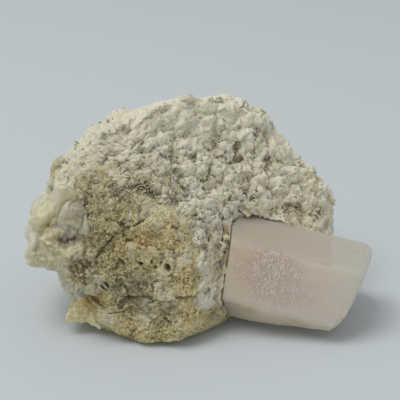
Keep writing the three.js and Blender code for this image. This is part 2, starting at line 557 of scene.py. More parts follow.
class Quarry:
    """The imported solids, which are read and copied but never changed."""

    def __init__(self, view: Viewpoint) -> None:
        """Loads the frame and prepares the searches on its solids."""
        self.nodes: dict[str, Piece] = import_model()["nodes"]
        self.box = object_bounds()
        self.view = view
        self.trees: dict[str, BVHTree] = {}
        for name, solid in self.nodes.items():
            corners, faces = solid.data.vertices, solid.data.polygons
            self.trees[name] = BVHTree.FromPolygons([v.co for v in corners], [p.vertices[:] for p in faces])

    def copy(self, node: str, name: str) -> Piece:
        """A copy of a solid with its doubled corners merged."""
        mesh = bpy.data.meshes.new(name)
        with sculpt(self.nodes[node].data, mesh) as shape:
            bmesh.ops.remove_doubles(shape, verts=shape.verts, dist=WELD)
        return new_object(name, mesh)

    def even_copy(self, node: str, name: str, voxel: float, others: Sequence[str], depth: float) -> Piece:
        """A copy of a solid with an even mesh, which is coarser inside its seams with other solids.

        Args:
            node: the solid.
            name: the copy's name.
            voxel: the length of its edges in mm.
            others: the solids that it has seams with.
            depth: how deep in a seam, in mm, the coarse part starts.

        Returns:
            The copy.
        """
        seam_width, coarse_share = 0.6, 0.1
        piece = self.copy(node, name)
        voxelise(piece, voxel)
        points = points_of(piece.data)
        gap = self.distance(points, others)
        thin_out(piece, (gap < seam_width) & (self.buried(points, gap) > depth), coarse_share)
        return piece

    def distance(self, points: np.ndarray, others: Sequence[str]) -> np.ndarray:
        """How far each point is from the nearest of some solids, in millimetres, up to FAR."""
        found = np.full(len(points), FAR * MM)
        for i, point in enumerate(points):
            for other in others:
                hit = self.trees[other].find_nearest(Vector(point), found[i])
                if hit[3] is not None:
                    found[i] = hit[3]
        return found / MM

    def buried(self, points: np.ndarray, gap: np.ndarray) -> np.ndarray:
        """How deep in a seam each point of a piece lies: its distance in mm from the piece's open surface.

        Args:
            points: the piece's points.
            gap: how far each is from the neighbouring solids, in mm.

        Returns:
            One number for each point, 0 in the open.
        """
        seam_width = 1.0
        shut = gap < seam_width
        tree = KDTree(int((~shut).sum()))
        for i, point in enumerate(points[~shut]):
            tree.insert(point, i)
        tree.balance()
        deep = np.zeros(len(points))
        deep[shut] = [tree.find(point)[2] / MM for point in points[shut]]
        return deep

    def spot(self, at: Pair) -> np.ndarray:
        """The nearest point of the solids that the view shows at a place."""
        start = self.view.position
        way = self.view.ray(at)
        hits = [tree.ray_cast(start, way) for tree in self.trees.values()]
        near = min((h for h in hits if h[0] is not None), key=lambda h: h[3])
        return np.array(near[0])

    def behind(self, points: np.ndarray, node: str, outline: Sequence[Pair]) -> np.ndarray:
        """Moves points that hide a solid to just behind its surface, along the line of sight.

        Args:
            points: the points.
            node: the solid that is to show.
            outline: the part of the view where it shows.

        Returns:
            All the points, moved or not.
        """
        clearance = 0.4 * MM
        start = self.view.position
        moved = points.copy()
        for i in np.nonzero(within(outline, self.view.places(points)))[0]:
            way = Vector(points[i]) - start
            hit = self.trees[node].ray_cast(start, way.normalized())
            if hit[0] is not None and hit[3] > way.length - clearance:
                moved[i] = hit[0] + way.normalized() * clearance
        return moved

    def spread(self, points: np.ndarray, start: np.ndarray, end: np.ndarray) -> np.ndarray:
        """How far points are, in millimetres, from a line between two spots.

        Depth along the line of sight counts for little, because a broken surface lies in front of or behind
        the solid that the spots were found on.
        """
        depth_share = 0.35
        sight = np.array((Vector((start + end) / 2) - self.view.position).normalized())
        way = end - start
        length = way @ way
        share = np.clip((points - start) @ way / length, 0, 1) if length else np.zeros(len(points))
        away = points - start - share[:, None] * way
        depth = away @ sight
        across = away - depth[:, None] * sight
        return np.sqrt((across**2).sum(axis=1) + (depth_share * depth) ** 2) / MM

    def around(self, points: np.ndarray, at: Pair, reach: float) -> np.ndarray:
        """How near points are to a place in the view: 1 on it, and fading over the reach in mm."""
        centre = self.spot(at)
        return np.exp(-((self.spread(points, centre, centre) / reach) ** 2))


# ---- Marks: stains, painted shade, hollows and smooth places ---------------------------------------------


class Mark(Enum):
    """What a mark does. Each is kept as a vertex attribute of this name."""

    RUST = "rust"
    OLIVE = "olive"
    SMOKE = "smoke"
    BROWN = "brown"
    SUNK = "sunk"
    CALM = "calm"
    COAT = "coat"
    GROWN = "grown"
    LIVELY = "lively"
    MILK = "milk"
    PALE = "pale"


# The stains; the last also stands for painted shade in hollows.
STAINS = (Mark.SMOKE, Mark.OLIVE, Mark.RUST, Mark.BROWN)

# For each mark: the place in the view, the reach in millimetres, and the strength (for SUNK the depth in mm).
MARKS: dict[Mark, tuple[tuple[int, int, float, float], ...]] = {
    Mark.RUST: (
        (214, 236, 9.0, 0.12), (216, 268, 8.0, 0.12), (146, 243, 4.0, 0.52), (158, 238, 3.5, 0.35),
        (130, 245, 4.5, 0.32), (181, 228, 3.5, 0.32), (197, 262, 5.0, 0.28), (176, 272, 3.0, 0.24),
        (90, 192, 3.5, 0.32), (84, 212, 2.5, 0.56), (49, 214, 3.5, 0.49), (45, 224, 3.0, 0.42),
        (50, 242, 3.2, 0.63), (74, 196, 3.5, 0.32), (54, 173, 1.8, 0.63), (313, 174, 3.5, 0.39),
        (314, 186, 2.2, 0.56), (304, 215, 5.0, 0.32), (290, 212, 3.0, 0.24), (84, 305, 2.8, 0.7),
        (93, 300, 2.5, 0.63), (128, 326, 5.0, 0.24), (196, 322, 5.0, 0.21), (251, 309, 1.8, 0.49),
        (112, 166, 2.4, 0.32), (145, 124, 2.8, 0.24), (166, 189, 2.2, 0.42), (100, 300, 3.5, 0.21),
        (138, 180, 6.0, 0.3),
    ),
    Mark.OLIVE: (
        (117, 200, 4.5, 0.3), (42, 252, 8.5, 0.18), (84, 306, 9.0, 0.25), (80, 273, 7.0, 0.35),
        # the spots at (70, 166) and (100, 150) are painted shade: they darken the left of the crust
        (208, 177, 2.6, 0.5), (70, 166, 9.0, 0.3), (100, 150, 9.0, 0.2), (216, 182, 2.0, 0.48),
        (95, 200, 4.5, 0.3), (100, 225, 5.5, 0.35), (92, 245, 4.0, 0.35), (112, 220, 3.0, 0.3),
        (222, 137, 3.0, 0.56), (210, 139, 2.6, 0.4), (172, 153, 3.6, 0.32), (215, 312, 5.0, 0.4),
        (222, 306, 3.0, 0.32), (237, 190, 2.6, 0.4), (256, 171, 2.2, 0.48), (292, 207, 2.6, 0.48),
        (300, 216, 2.5, 0.32), (40, 262, 5.0, 0.32), (56, 256, 4.0, 0.32), (70, 284, 2.5, 0.56),
        (78, 318, 3.0, 0.4), (136, 184, 6.0, 0.6), (170, 188, 5.0, 0.5),
    ),
    Mark.SMOKE: (
        (132, 292, 6.5, 0.72), (140, 308, 4.0, 0.54), (166, 316, 4.5, 0.72), (115, 262, 5.5, 0.45),
        (142, 272, 5.0, 0.41), (125, 300, 5.0, 0.45), (96, 238, 4.0, 0.45), (84, 243, 4.0, 0.45),
        # the wide spot at (104, 142) is painted shade: it darkens the left of the crust
        (172, 300, 6.0, 0.27), (110, 285, 4.0, 0.36), (76, 222, 4.5, 0.45), (104, 142, 16.0, 0.5),
    ),
    # These spots are iron stain in pits and cracks, and painted shadow, as in the dark holes of the crust and
    # the row under the quartz lens.
    Mark.BROWN: (
        (126, 184, 1.8, 0.6), (135, 186, 2.2, 0.7), (145, 186, 1.6, 0.6), (134, 193, 1.2, 0.5),
        (77, 269, 3.0, 0.8), (84, 263, 2.2, 0.6), (79, 280, 2.6, 0.7), (86, 284, 1.8, 0.5),
        (90, 262, 2.0, 0.5), (70, 272, 1.6, 0.6), (107, 285, 1.8, 0.6), (168, 268, 1.4, 1.0),
        (140, 263, 0.9, 0.9), (205, 292, 1.4, 0.9), (184, 188, 1.2, 0.8), (165, 189, 1.2, 0.6),
        (208, 208, 1.4, 0.7), (192, 157, 2.0, 0.6), (162, 154, 1.4, 0.7), (268, 161, 1.4, 0.7),
        # The spots from (60, 240) to (82, 237) are the painted shadow under the quartz lens.
        (234, 195, 1.4, 0.6), (256, 194, 1.6, 0.6), (293, 211, 1.4, 0.7), (288, 216, 1.2, 0.7),
        (317, 219, 1.6, 0.7), (194, 226, 1.3, 0.6), (60, 240, 2.4, 0.7), (117, 196, 1.2, 0.5),
        (92, 196, 1.0, 0.8), (66, 241, 1.6, 0.9), (74, 239, 1.6, 0.9), (82, 237, 1.4, 0.8),
        (88, 272, 2.4, 0.4), (101, 250, 1.4, 0.7), (110, 240, 1.0, 0.6),
    ),
    Mark.SUNK: (
        (57, 181, 2.5, -0.6), (128, 184, 1.4, 2.2), (136, 187, 1.5, 2.4), (146, 186, 1.1, 2.0),
        (134, 193, 0.8, 1.8), (166, 188, 1.0, 2.0), (184, 188, 0.9, 2.2), (176, 176, 1.5, 1.6),
        (166, 175, 1.2, 1.5), (208, 207, 1.0, 2.2), (206, 195, 0.8, 1.5), (194, 226, 1.0, 1.8),
        (213, 233, 1.0, 1.4), (224, 228, 0.9, 1.0), (202, 241, 0.9, 1.4), (223, 242, 0.9, 1.0),
        (210, 177, 1.7, 2.2), (162, 153, 1.1, 2.0), (168, 158, 1.1, 1.5), (178, 159, 1.1, 1.5),
        (190, 156, 1.7, 2.0), (200, 163, 1.4, 1.2), (142, 134, 1.0, 1.5), (167, 129, 1.0, 1.2),
        (222, 138, 1.4, 1.5), (229, 136, 0.9, 1.5), (257, 134, 1.2, 2.2), (226, 154, 1.8, 2.2),
        (241, 146, 1.5, 1.5), (242, 163, 1.2, 1.8), (268, 161, 1.2, 2.5), (275, 170, 1.0, 1.5),
        (258, 173, 1.2, 1.5), (246, 188, 1.0, 1.8), (256, 194, 1.5, 2.2), (234, 196, 1.2, 2.0),
        (243, 202, 0.9, 1.8), (270, 200, 1.0, 2.0), (294, 210, 1.4, 2.2), (288, 217, 1.0, 2.0),
        (317, 219, 1.5, 2.0), (315, 188, 1.2, 1.5), (86, 163, 0.8, 1.2), (88, 176, 0.8, 1.5),
        (84, 184, 0.9, 1.5), (125, 149, 0.9, 1.2), (116, 150, 1.0, 1.2), (62, 243, 1.2, 1.2),
        (70, 241, 1.2, 1.4), (78, 240, 1.2, 1.4), (85, 238, 1.2, 1.2), (88, 228, 1.0, 1.0),
        (78, 268, 1.6, 0.9), (72, 284, 1.2, 0.8), (48, 232, 1.2, 0.7), (40, 236, 1.0, 0.6),
    ),
    Mark.CALM: (
        (165, 222, 4.5, 0.9), (180, 222, 3.5, 0.7), (150, 206, 5.0, 0.5), (176, 205, 4.0, 0.6),
        (200, 322, 9.0, 0.9), (215, 310, 5.0, 0.8), (120, 325, 5.0, 0.6), (105, 305, 4.0, 0.5),
        (100, 215, 5.0, 0.4),
    ),
    Mark.COAT: (
        (82, 304, 7.0, 0.8), (86, 246, 4.0, 1.0), (98, 240, 4.0, 1.0), (76, 256, 3.6, 0.9),
        (90, 262, 5.0, 1.0), (76, 272, 4.5, 1.0), (94, 280, 5.0, 1.0), (68, 286, 2.5, 0.6),
        (62, 246, 2.0, 0.6), (92, 296, 5.0, 0.9), (94, 218, 3.0, 0.9), (94, 200, 3.0, 0.9),
        (76, 312, 5.0, 0.5), (56, 272, 2.5, 0.5),
    ),
    Mark.GROWN: (
        (203, 214, 4.5, 0.9), (214, 226, 5.0, 1.0), (206, 240, 4.5, 0.9), (218, 250, 5.0, 1.0),
        (208, 262, 4.0, 0.8), (216, 274, 4.5, 0.9), (214, 288, 3.0, 0.6),
    ),
    Mark.LIVELY: (
        (200, 168, 20.0, 1.0), (250, 182, 16.0, 0.9), (140, 178, 12.0, 0.8), (290, 205, 10.0, 0.7),
        (235, 145, 10.0, 0.5),
    ),
    Mark.MILK: (
        (318, 262, 1.0, 0.4), (317, 283, 0.7, 0.6), (336, 320, 3.2, 0.5), (342, 312, 2.2, 0.5),
        (331, 326, 2.4, 0.4), (345, 303, 1.4, 0.5), (370, 251, 1.6, 0.5),
    ),
    Mark.PALE: (
        (352, 246, 4.5, 0.8), (362, 254, 4.5, 0.9), (358, 266, 4.0, 0.7), (346, 260, 4.0, 0.5),
        (352, 278, 3.5, 0.4), (318, 238, 4.0, 0.7), (306, 232, 3.5, 0.6), (326, 244, 3.0, 0.5),
        (364, 264, 3.0, 0.7), (340, 300, 4.0, 0.3), (336, 316, 5.0, 0.4),
    ),
}

# Soft pushes of all that is near a place in the view: the place, the reach, and how far right and up (mm).
NUDGES: tuple[tuple[int, int, float, float, float], ...] = (
    (34, 198, 8.0, 4.4, -1.8), (54, 172, 3.5, -0.8, 1.6), (30, 214, 5.0, 1.0, 0.0),
    (50, 272, 6.0, 0.6, 3.0), (62, 290, 6.0, 2.4, 1.4), (74, 322, 6.0, 0.4, 2.2),
    (124, 116, 11.0, 0.8, -6.0), (90, 140, 8.0, 0.8, -1.6), (326, 196, 8.0, 0.8, 1.8),
    (288, 150, 5.0, -0.4, -3.6), (262, 314, 8.0, 0.0, -1.1), (236, 220, 5.0, -1.2, 1.0),
    (262, 118, 6.0, 0.6, 1.4),
)


class Marker:
    """Finds how strongly each mark acts on points of the specimen."""

    softness = 1.1
    hollow_seed = 11

    def __init__(self, quarry: Quarry) -> None:
        """Finds the place of every mark on the solids."""
        self.quarry = quarry
        self.placed: dict[Mark, list[tuple[np.ndarray, float, float]]] = {}
        for mark, rows in MARKS.items():
            self.placed[mark] = [(quarry.spot((x, y)), reach, full) for x, y, reach, full in rows]

    def strength(self, points: np.ndarray, mark: Mark) -> np.ndarray:
        """The sum of a mark's soft-edged spots at each point."""
        total = np.zeros(len(points))
        for centre, reach, full in self.placed[mark]:
            away = self.quarry.spread(points, centre, centre) / reach
            total += full * np.exp(-((away / self.softness) ** 2))
        return total

    def share(self, points: np.ndarray, mark: Mark) -> np.ndarray:
        """The strength of a mark at each point, up to 1."""
        return np.clip(self.strength(points, mark), 0, 1)

    def hollows(self, points: np.ndarray) -> np.ndarray:
        """How deep in mm each point is sunk by the hollows, which have ragged rims."""
        rng = np.random.default_rng(self.hollow_seed)
        push = np.stack([ripple(points, 0.8, rng) + ripple(points, 2.0, rng) for _ in range(3)], axis=1)
        return self.strength(points + 1.0 * MM * push, Mark.SUNK)

    def fit(self, piece: Piece) -> None:
        """Moves a finished piece by the nudges, and keeps it above the floor."""
        points = points_of(piece.data)
        moved = points.copy()
        for x, y, reach, right, up in NUDGES:
            way = RIGHT * right + self.quarry.view.up * up
            moved += self.quarry.around(points, (x, y), reach)[:, None] * np.array(way) * MM
        moved[:, 2] = np.maximum(moved[:, 2], 0.0)
        set_points(piece.data, moved)

    def stain(self, piece: Piece, share: Numbers = 1.0) -> None:
        """Writes one attribute for each stain, of which each vertex takes the given share."""
        points = points_of(piece.data)
        for mark in STAINS:
            write(piece.data, **{mark.value: np.clip(self.strength(points, mark) * share, 0, 1)})


# ---- Finishes --------------------------------------------------------------------------------------------


@dataclass(frozen=True)
class BrokenAlbite:
    """Granular albite, broken and weathered: matt cream to tan, glinting grains, grime and painted shade in
    hollows.
    """

    pale: str = "#f8e6ac"
    deep: str = "#baa768"
    # the next colour darkens the hollows, as grime and painted shade, and gives the fine dark specks
    dirt: str = "#54472b"
    # the next colour lightens the ridges, as rubbing and painted light
    worn: str = "#f6e9b8"
    fresh: str = "#efe8d2"
    rust: str = "#b3924c"
    olive: str = "#857a48"
    smoke: str = "#857c5e"
    brown: str = "#46361d"
    white: str = "#f7f2e0"
    grain: float = 0.6
    patch: float = 3.0
    bloom: float = 9.0
    speck: float = 0.9
    ior: float = 1.53

    def material(self) -> Material:
        """Builds the material."""
        shader = Shader("albite, granular, broken and iron-stained")
        place = shader.place
        grains = shader.cells(place, self.grain)
        shade = shader.add("ShaderNodeSeparateColor", {0: grains.outputs["Color"]})
        patches = shader.ranged(shader.noise(place, self.patch, 6.0, 0.65), 0.36, 0.64)
        both = shader.math("ADD", patches, shader.math("MULTIPLY_ADD", shade, 2.2, -1.1), clamp=True)
        base = shader.mixed(both, self.deep, self.pale)
        bloom = shader.noise(place, self.bloom, 5.0, 0.65)
        base = shader.mixed(shader.ranged(bloom, 0.5, 0.64, last=0.7), base, self.white)
        base = shader.mixed(shader.attribute(Mark.GROWN.value), base, self.fresh)
        base = shader.stained(base, self, STAINS, 2.0)
        # Painted shade and painted light, with grime: dark in the hollows and light on the ridges, by the
        # attribute hollow.
        hollow = shader.attribute("hollow")
        worn = shader.mixed(shader.ranged(hollow, 0.48, 0.1, last=0.6), base, self.worn)
        base = shader.mixed(shader.ranged(hollow, 0.54, 1.1), worn, self.dirt)
        crowd = shader.math("MULTIPLY_ADD", bloom, -0.6, shader.noise(place, self.speck, 2.0, 0.6))
        base = shader.mixed(shader.ranged(crowd, 0.31, 0.37, last=0.75), base, self.dirt)
        relief = shader.math("MULTIPLY_ADD", grains, -0.6, shader.noise(place, 0.5, 4.0, 0.7))
        glint = shader.ranged(shade.outputs[1], 0.7, 1.0, 0.75, 0.35)
        bump = shader.bump(relief, 1.0, 0.7)
        return shader.surface({"Base Color": base, "Roughness": glint, "IOR": self.ior, "Normal": bump})


@dataclass(frozen=True)
class BladedAlbite:
    """Cleavelandite, grown as thin blades: white and waxy at the tips, tan in the creases between, as grime
    and painted shade.
    """

    tip: str = "#e7e1ca"
    # the colour at the blade feet, and in the creases as grime and painted shade
    root: str = "#a1915e"
    rust: str = "#c9ae6c"
    olive: str = "#9a9162"
    smoke: str = "#a5a087"
    brown: str = "#6b4f26"
    scatter: float = 1.4
    book: float = 3.4
    blade: float = 1.0
    roughness: float = 0.6
    ior: float = 1.53

    def material(self, kind: str, ribbed: bool = True, lit: bool = False) -> Material:
        """Builds the material.

        Args:
            kind: how the blades are grown.
            ribbed: whether the edges of packed blades show as fine ribs.
            lit: whether light enters, as it does in the thick body of the crust.
        """
        shader = Shader(f"albite, cleavelandite, grown as {kind}")
        crease = shader.attribute("crease")
        # Painted shade with grime: darker where crease is high, and dark lines between the blade edges, most
        # in the creases.
        ribs = shader.math("MULTIPLY", self._ribs(shader), shader.ranged(crease, 0.0, 0.6, 0.2, 1.0))
        lift = shader.math("MULTIPLY_ADD", shader.noise(shader.place, 9.0, 5.0, 0.6), -0.9, 0.75)
        clean = shader.math("MULTIPLY_ADD", ribs, 0.3, lift)
        clean = shader.math("MULTIPLY_ADD", crease, -0.7, clean)
        # tip: paler blade tips, and on the core and edge paler faces that turn up, which is painted light
        # from above.
        clean = shader.math("MULTIPLY_ADD", shader.attribute("tip"), 0.9, clean)
        ramp = shader.ranged(clean, 0.0, 0.85, interpolation_type="SMOOTHSTEP")
        base = shader.stained(shader.mixed(ramp, self.root, self.tip), self, STAINS, 2.0, ribs)
        value = shader.ranged(shader.attribute("tone"), 0.0, 1.0, 0.95, 1.03)
        toned = shader.add("ShaderNodeHueSaturation", {"Color": base, "Value": value})
        fine = shader.noise(shader.place, 1.0, 4.0, 0.65)
        inputs = {"Base Color": toned, "Roughness": self.roughness, "IOR": self.ior}
        if ribbed:
            inputs["Normal"] = shader.bump(shader.math("MULTIPLY_ADD", ribs, 0.45, fine), 0.85, 0.55)
        else:
            inputs["Normal"] = shader.bump(fine, 0.25, 0.2)
        if lit:
            inputs |= {"Subsurface Weight": 1.0, "Subsurface Scale": self.scatter * MM}
            inputs["Subsurface Radius"] = (1.0, 0.95, 0.85)
        return shader.surface(inputs)

    def _ribs(self, shader: Shader) -> Node:
        """Fine ribs that run one way in each cell, as the edges of the blades in a book do."""
        push = shader.noise(shader.place, 2 * self.book, 2.0).outputs["Color"]
        bent = shader.vector("ADD", shader.place, shader.scaled(push, 0.6 * self.book * MM))
        way = shader.vector("SUBTRACT", shader.cells(bent, self.book).outputs["Color"], GREY)
        along = shader.vector("DOT_PRODUCT", bent, shader.vector("NORMALIZE", way))
        return shader.math("SINE", shader.math("MULTIPLY", along, math.tau / (self.blade * MM)))


@dataclass(frozen=True)
class ClearBeryl:
    """Morganite, natural prism faces: clear pale pink, glassy where smooth and frosted where etched."""

    body: str = "#efddd0"
    haze: str = "#e9dfd1"
    root: str = "#f1dec8"
    tip: str = "#e6e1d3"
    # under is painted light: the underside over the shaded floor is made pale and warm
    under: str = "#fbecd0"
    etched: str = "#cdb9a8"
    milk: str = "#f6f1e8"
    pale: str = "#dcdfcb"
    # the next colour is painted shade on the top faces and along the rounded long edges, where it takes out
    # their highlight
    crown: str = "#d9cbbb"
    absorbed: str = "#f5ddd0"
    rust: str = "#cfae72"
    axis: Triple = (0.966, -0.171, -0.192)
    transmission: float = 0.4
    density: float = 3.0
    scatter: float = 11.0
    ior: float = 1.58

    def material(self) -> Material:
        """Builds the material."""
        shader = Shader("beryl, morganite, natural faces lightly etched")
        place = shader.place
        base = shader.mixed(shader.noise(place, 8.0, 4.0, 0.6), self.body, self.haze)
        base = shader.mixed(self._veils(shader), base, self.milk)
        # Of these, the top and edge colour is painted shade and under is painted light; root and tip are the
        # crystal's own colours.
        for name in ("root", "crown", "tip", "under"):
            base = shader.mixed(shader.attribute(name), base, getattr(self, name))
        base = shader.stained(base, self, (Mark.RUST, Mark.PALE), 3.0)
        etch = shader.attribute("etch")
        base = shader.mixed(shader.math("MULTIPLY", etch, 0.2), base, self.etched)
        base = shader.mixed(shader.attribute(Mark.MILK.value), base, self.milk)
        made = shader.surface(
            {
                "Base Color": base,
                "Roughness": shader.ranged(shader.noise(place, 5.0, 3.0, 0.6), 0.0, 1.0, 0.2, 0.45),
                "IOR": self.ior,
                "Specular IOR Level": 0.3,
                "Transmission Weight": self.transmission,
                "Subsurface Weight": 1.0,
                "Subsurface Radius": (1.0, 0.85, 0.75),
                "Subsurface Scale": self.scatter * MM,
                "Normal": shader.bump(
                    shader.noise(place, 0.8, 4.0, 0.7), shader.ranged(etch, 0.0, 1.0, 0.1, 0.35), 0.3
                ),
            }
        )
        inside = {"Color": linear(self.absorbed), "Density": self.density}
        volume = shader.add("ShaderNodeVolumeAbsorption", inside)
        shader.tree.links.new(volume.outputs[0], shader.out.inputs["Volume"])
        return made

    def _veils(self, shader: Shader) -> Node:
        """Faint milky veils, drawn out along the crystal."""
        along = shader.scaled(self.axis, shader.vector("DOT_PRODUCT", shader.place, self.axis))
        drawn = shader.vector("SUBTRACT", shader.place, shader.scaled(along, 0.8))
        return shader.ranged(shader.noise(drawn, 2.2, 4.0, 0.6), 0.5, 0.75, last=0.5)


@dataclass(frozen=True)
class PitWalls:
    """The walls of etch pits in the beryl: frosted, and painted near white so that each shows as a fine
    spark, a painted glint.
    """

    bright: str = "#fbf6f0"
    dull: str = "#f0e8e0"
    roughness: float = 0.4
    ior: float = 1.58

    def material(self) -> Material:
        """Builds the material."""
        # The pit walls are painted near white: painted glints.
        shader = Shader("beryl, frosted walls of etch pits")
        base = shader.mixed(shader.noise(shader.place, 3.0, 3.0, 0.6), self.dull, self.bright)
        return shader.surface({"Base Color": base, "Roughness": self.roughness, "IOR": self.ior})


@dataclass(frozen=True)
class CloudyQuartz:
    """Quartz, broken: milky inside, with a glassy lustre on curved fracture faces and grit where coated."""

    name: str = "quartz, milky, broken glassy"
    pale: str = "#f2eedb"
    deep: str = "#e2daae"
    grit: str = "#b0a272"
    rust: str = "#bfa55e"
    olive: str = "#a39a63"
    smoke: str = "#a39a7a"
    brown: str = "#5c4c2c"
    transmission: float = 0.3
    scatter: float = 4.0
    grain: float = 0.6
    ior: float = 1.54

    def material(self) -> Material:
        """Builds the material."""
        shader = Shader(self.name)
        place = shader.place
        cloud = shader.ranged(shader.noise(place, 7.0, 5.0, 0.6), 0.38, 0.62)
        coat = shader.attribute(Mark.COAT.value)
        grains = shader.cells(place, self.grain)
        shade = shader.add("ShaderNodeSeparateColor", {0: grains.outputs["Color"]})
        gritty = shader.mixed(shade, self.grit, self.pale)
        base = shader.mixed(coat, shader.mixed(cloud, self.deep, self.pale), gritty)
        relief = shader.math("MULTIPLY_ADD", grains, coat, shader.noise(place, 1.8, 4.0, 0.6))
        return shader.surface(
            {
                "Base Color": shader.stained(base, self, STAINS, 1.3),
                "Roughness": shader.ranged(coat, 0.0, 1.0, 0.3, 0.75),
                "IOR": self.ior,
                "Transmission Weight": shader.ranged(coat, 0.0, 1.0, self.transmission, 0.0),
                "Subsurface Weight": shader.ranged(coat, 0.0, 1.0, 1.0, 0.0),
                "Subsurface Radius": (1.0, 0.95, 0.85),
                "Subsurface Scale": self.scatter * MM,
                "Normal": shader.bump(relief, 0.4, 0.4),
            }
        )


# ---- Broken surfaces -------------------------------------------------------------------------------------


@dataclass(frozen=True)
class Fracture:
    """How a mineral breaks, as six layers of relief. A size and a height are in mm, and a tilt is a slope."""

    block_size: float
    block_tilt: float
    chip_size: float
    chip_tilt: float
    knob_size: float
    knob_height: float
    grain_size: float
    grain_height: float
    swell_size: float
    swell_height: float
    dust_size: float
    dust_height: float

    def inputs(self) -> dict[str, float]:
        """The tree's inputs."""
        return values_of(self, ("Tilt",))


class FractureTree(Geometry):
    """Geometry nodes that break up an even surface where the attribute "loose" is 1.

    Blocks and chips are flat facets, knobs and grains are domes with creases between them, and swell and dust
    are noise. Chips, grains and dust fade where the attribute "calm" is 1.
    """

    bend_size = 3.5
    bend_reach = 2.4
    dome_top = 0.25
    crease_depth = 0.65

    def __init__(self) -> None:
        """Builds the tree."""
        super().__init__("fracture", {label: "Float" for label in labels_of(Fracture)})
        self.place = self.add("GeometryNodeInputPosition").outputs[0]
        self.bent = self._bend()
        lively = self.math("SUBTRACT", 1.0, self.attribute("calm"))
        fine, broad = self._relief("Chip", "Grain", "Dust"), self._relief("Block", "Knob", "Swell")
        both = self.math("MULTIPLY_ADD", fine, lively, broad)
        height = self.math("MULTIPLY", self.attribute("loose"), both)
        offset = self.scaled(self.add("GeometryNodeInputNormal"), height)
        self.give(self.add("GeometryNodeSetPosition", {"Geometry": self.ask["Geometry"], "Offset": offset}))

    def _bend(self) -> Socket:
        """The place, pushed about by soft noise, so that no cell has straight sides."""
        push = self.vector("SUBTRACT", self.noise(self.place, self.bend_size, 2.0).outputs["Color"], GREY)
        return self.vector("ADD", self.place, self.scaled(push, 2 * self.bend_reach * MM))

    def _relief(self, facets: str, domes: str, waves: str) -> Node:
        """The height of a layer of facets, a layer of domes and a layer of noise together."""
        round_part = self.math("ADD", self._domes(domes), self._waves(waves))
        return self.math("ADD", self._facets(facets), round_part)

    def _facets(self, layer: str) -> Node:
        """The height of flat facets, each tilted its own way."""
        cells = self.cells(self.bent, self.ask[layer + " Size"])
        inside = self.vector("SUBTRACT", self.bent, cells.outputs["Position"])
        lean = self.vector("SUBTRACT", cells.outputs["Color"], GREY)
        return self.math("MULTIPLY", self.vector("DOT_PRODUCT", inside, lean), self.ask[layer + " Tilt"])

    def _domes(self, layer: str) -> Node:
        """The height of round domes with creases between them."""
        away = self.cells(self.bent, self.ask[layer + " Size"]).outputs["Distance"]
        square = self.math("MINIMUM", self.math("MULTIPLY", away, away), self.crease_depth)
        dome = self.math("SUBTRACT", self.dome_top, square)
        return self.math("MULTIPLY", dome, self.ask[layer + " Height"])

    def _waves(self, layer: str) -> Node:
        """The height of soft noise."""
        waves = self.noise(self.place, self.ask[layer + " Size"], 4.0, 0.65)
        return self.math("MULTIPLY", self.math("SUBTRACT", waves, 0.5), self.ask[layer + " Height"])


# ---- The rock --------------------------------------------------------------------------------------------


@dataclass(frozen=True)
class Groove:
    """A pit or an open crack along places in the view, with its half width and depth (mm)."""

    along: tuple[Pair, ...]
    width: float
    depth: float


@dataclass(frozen=True)
class Ledge:
    """A step along places in the view: the side towards "up" stands higher, and fades over the reach (mm)."""

    along: tuple[Pair, ...]
    up: Triple
    rise: float
    reach: float


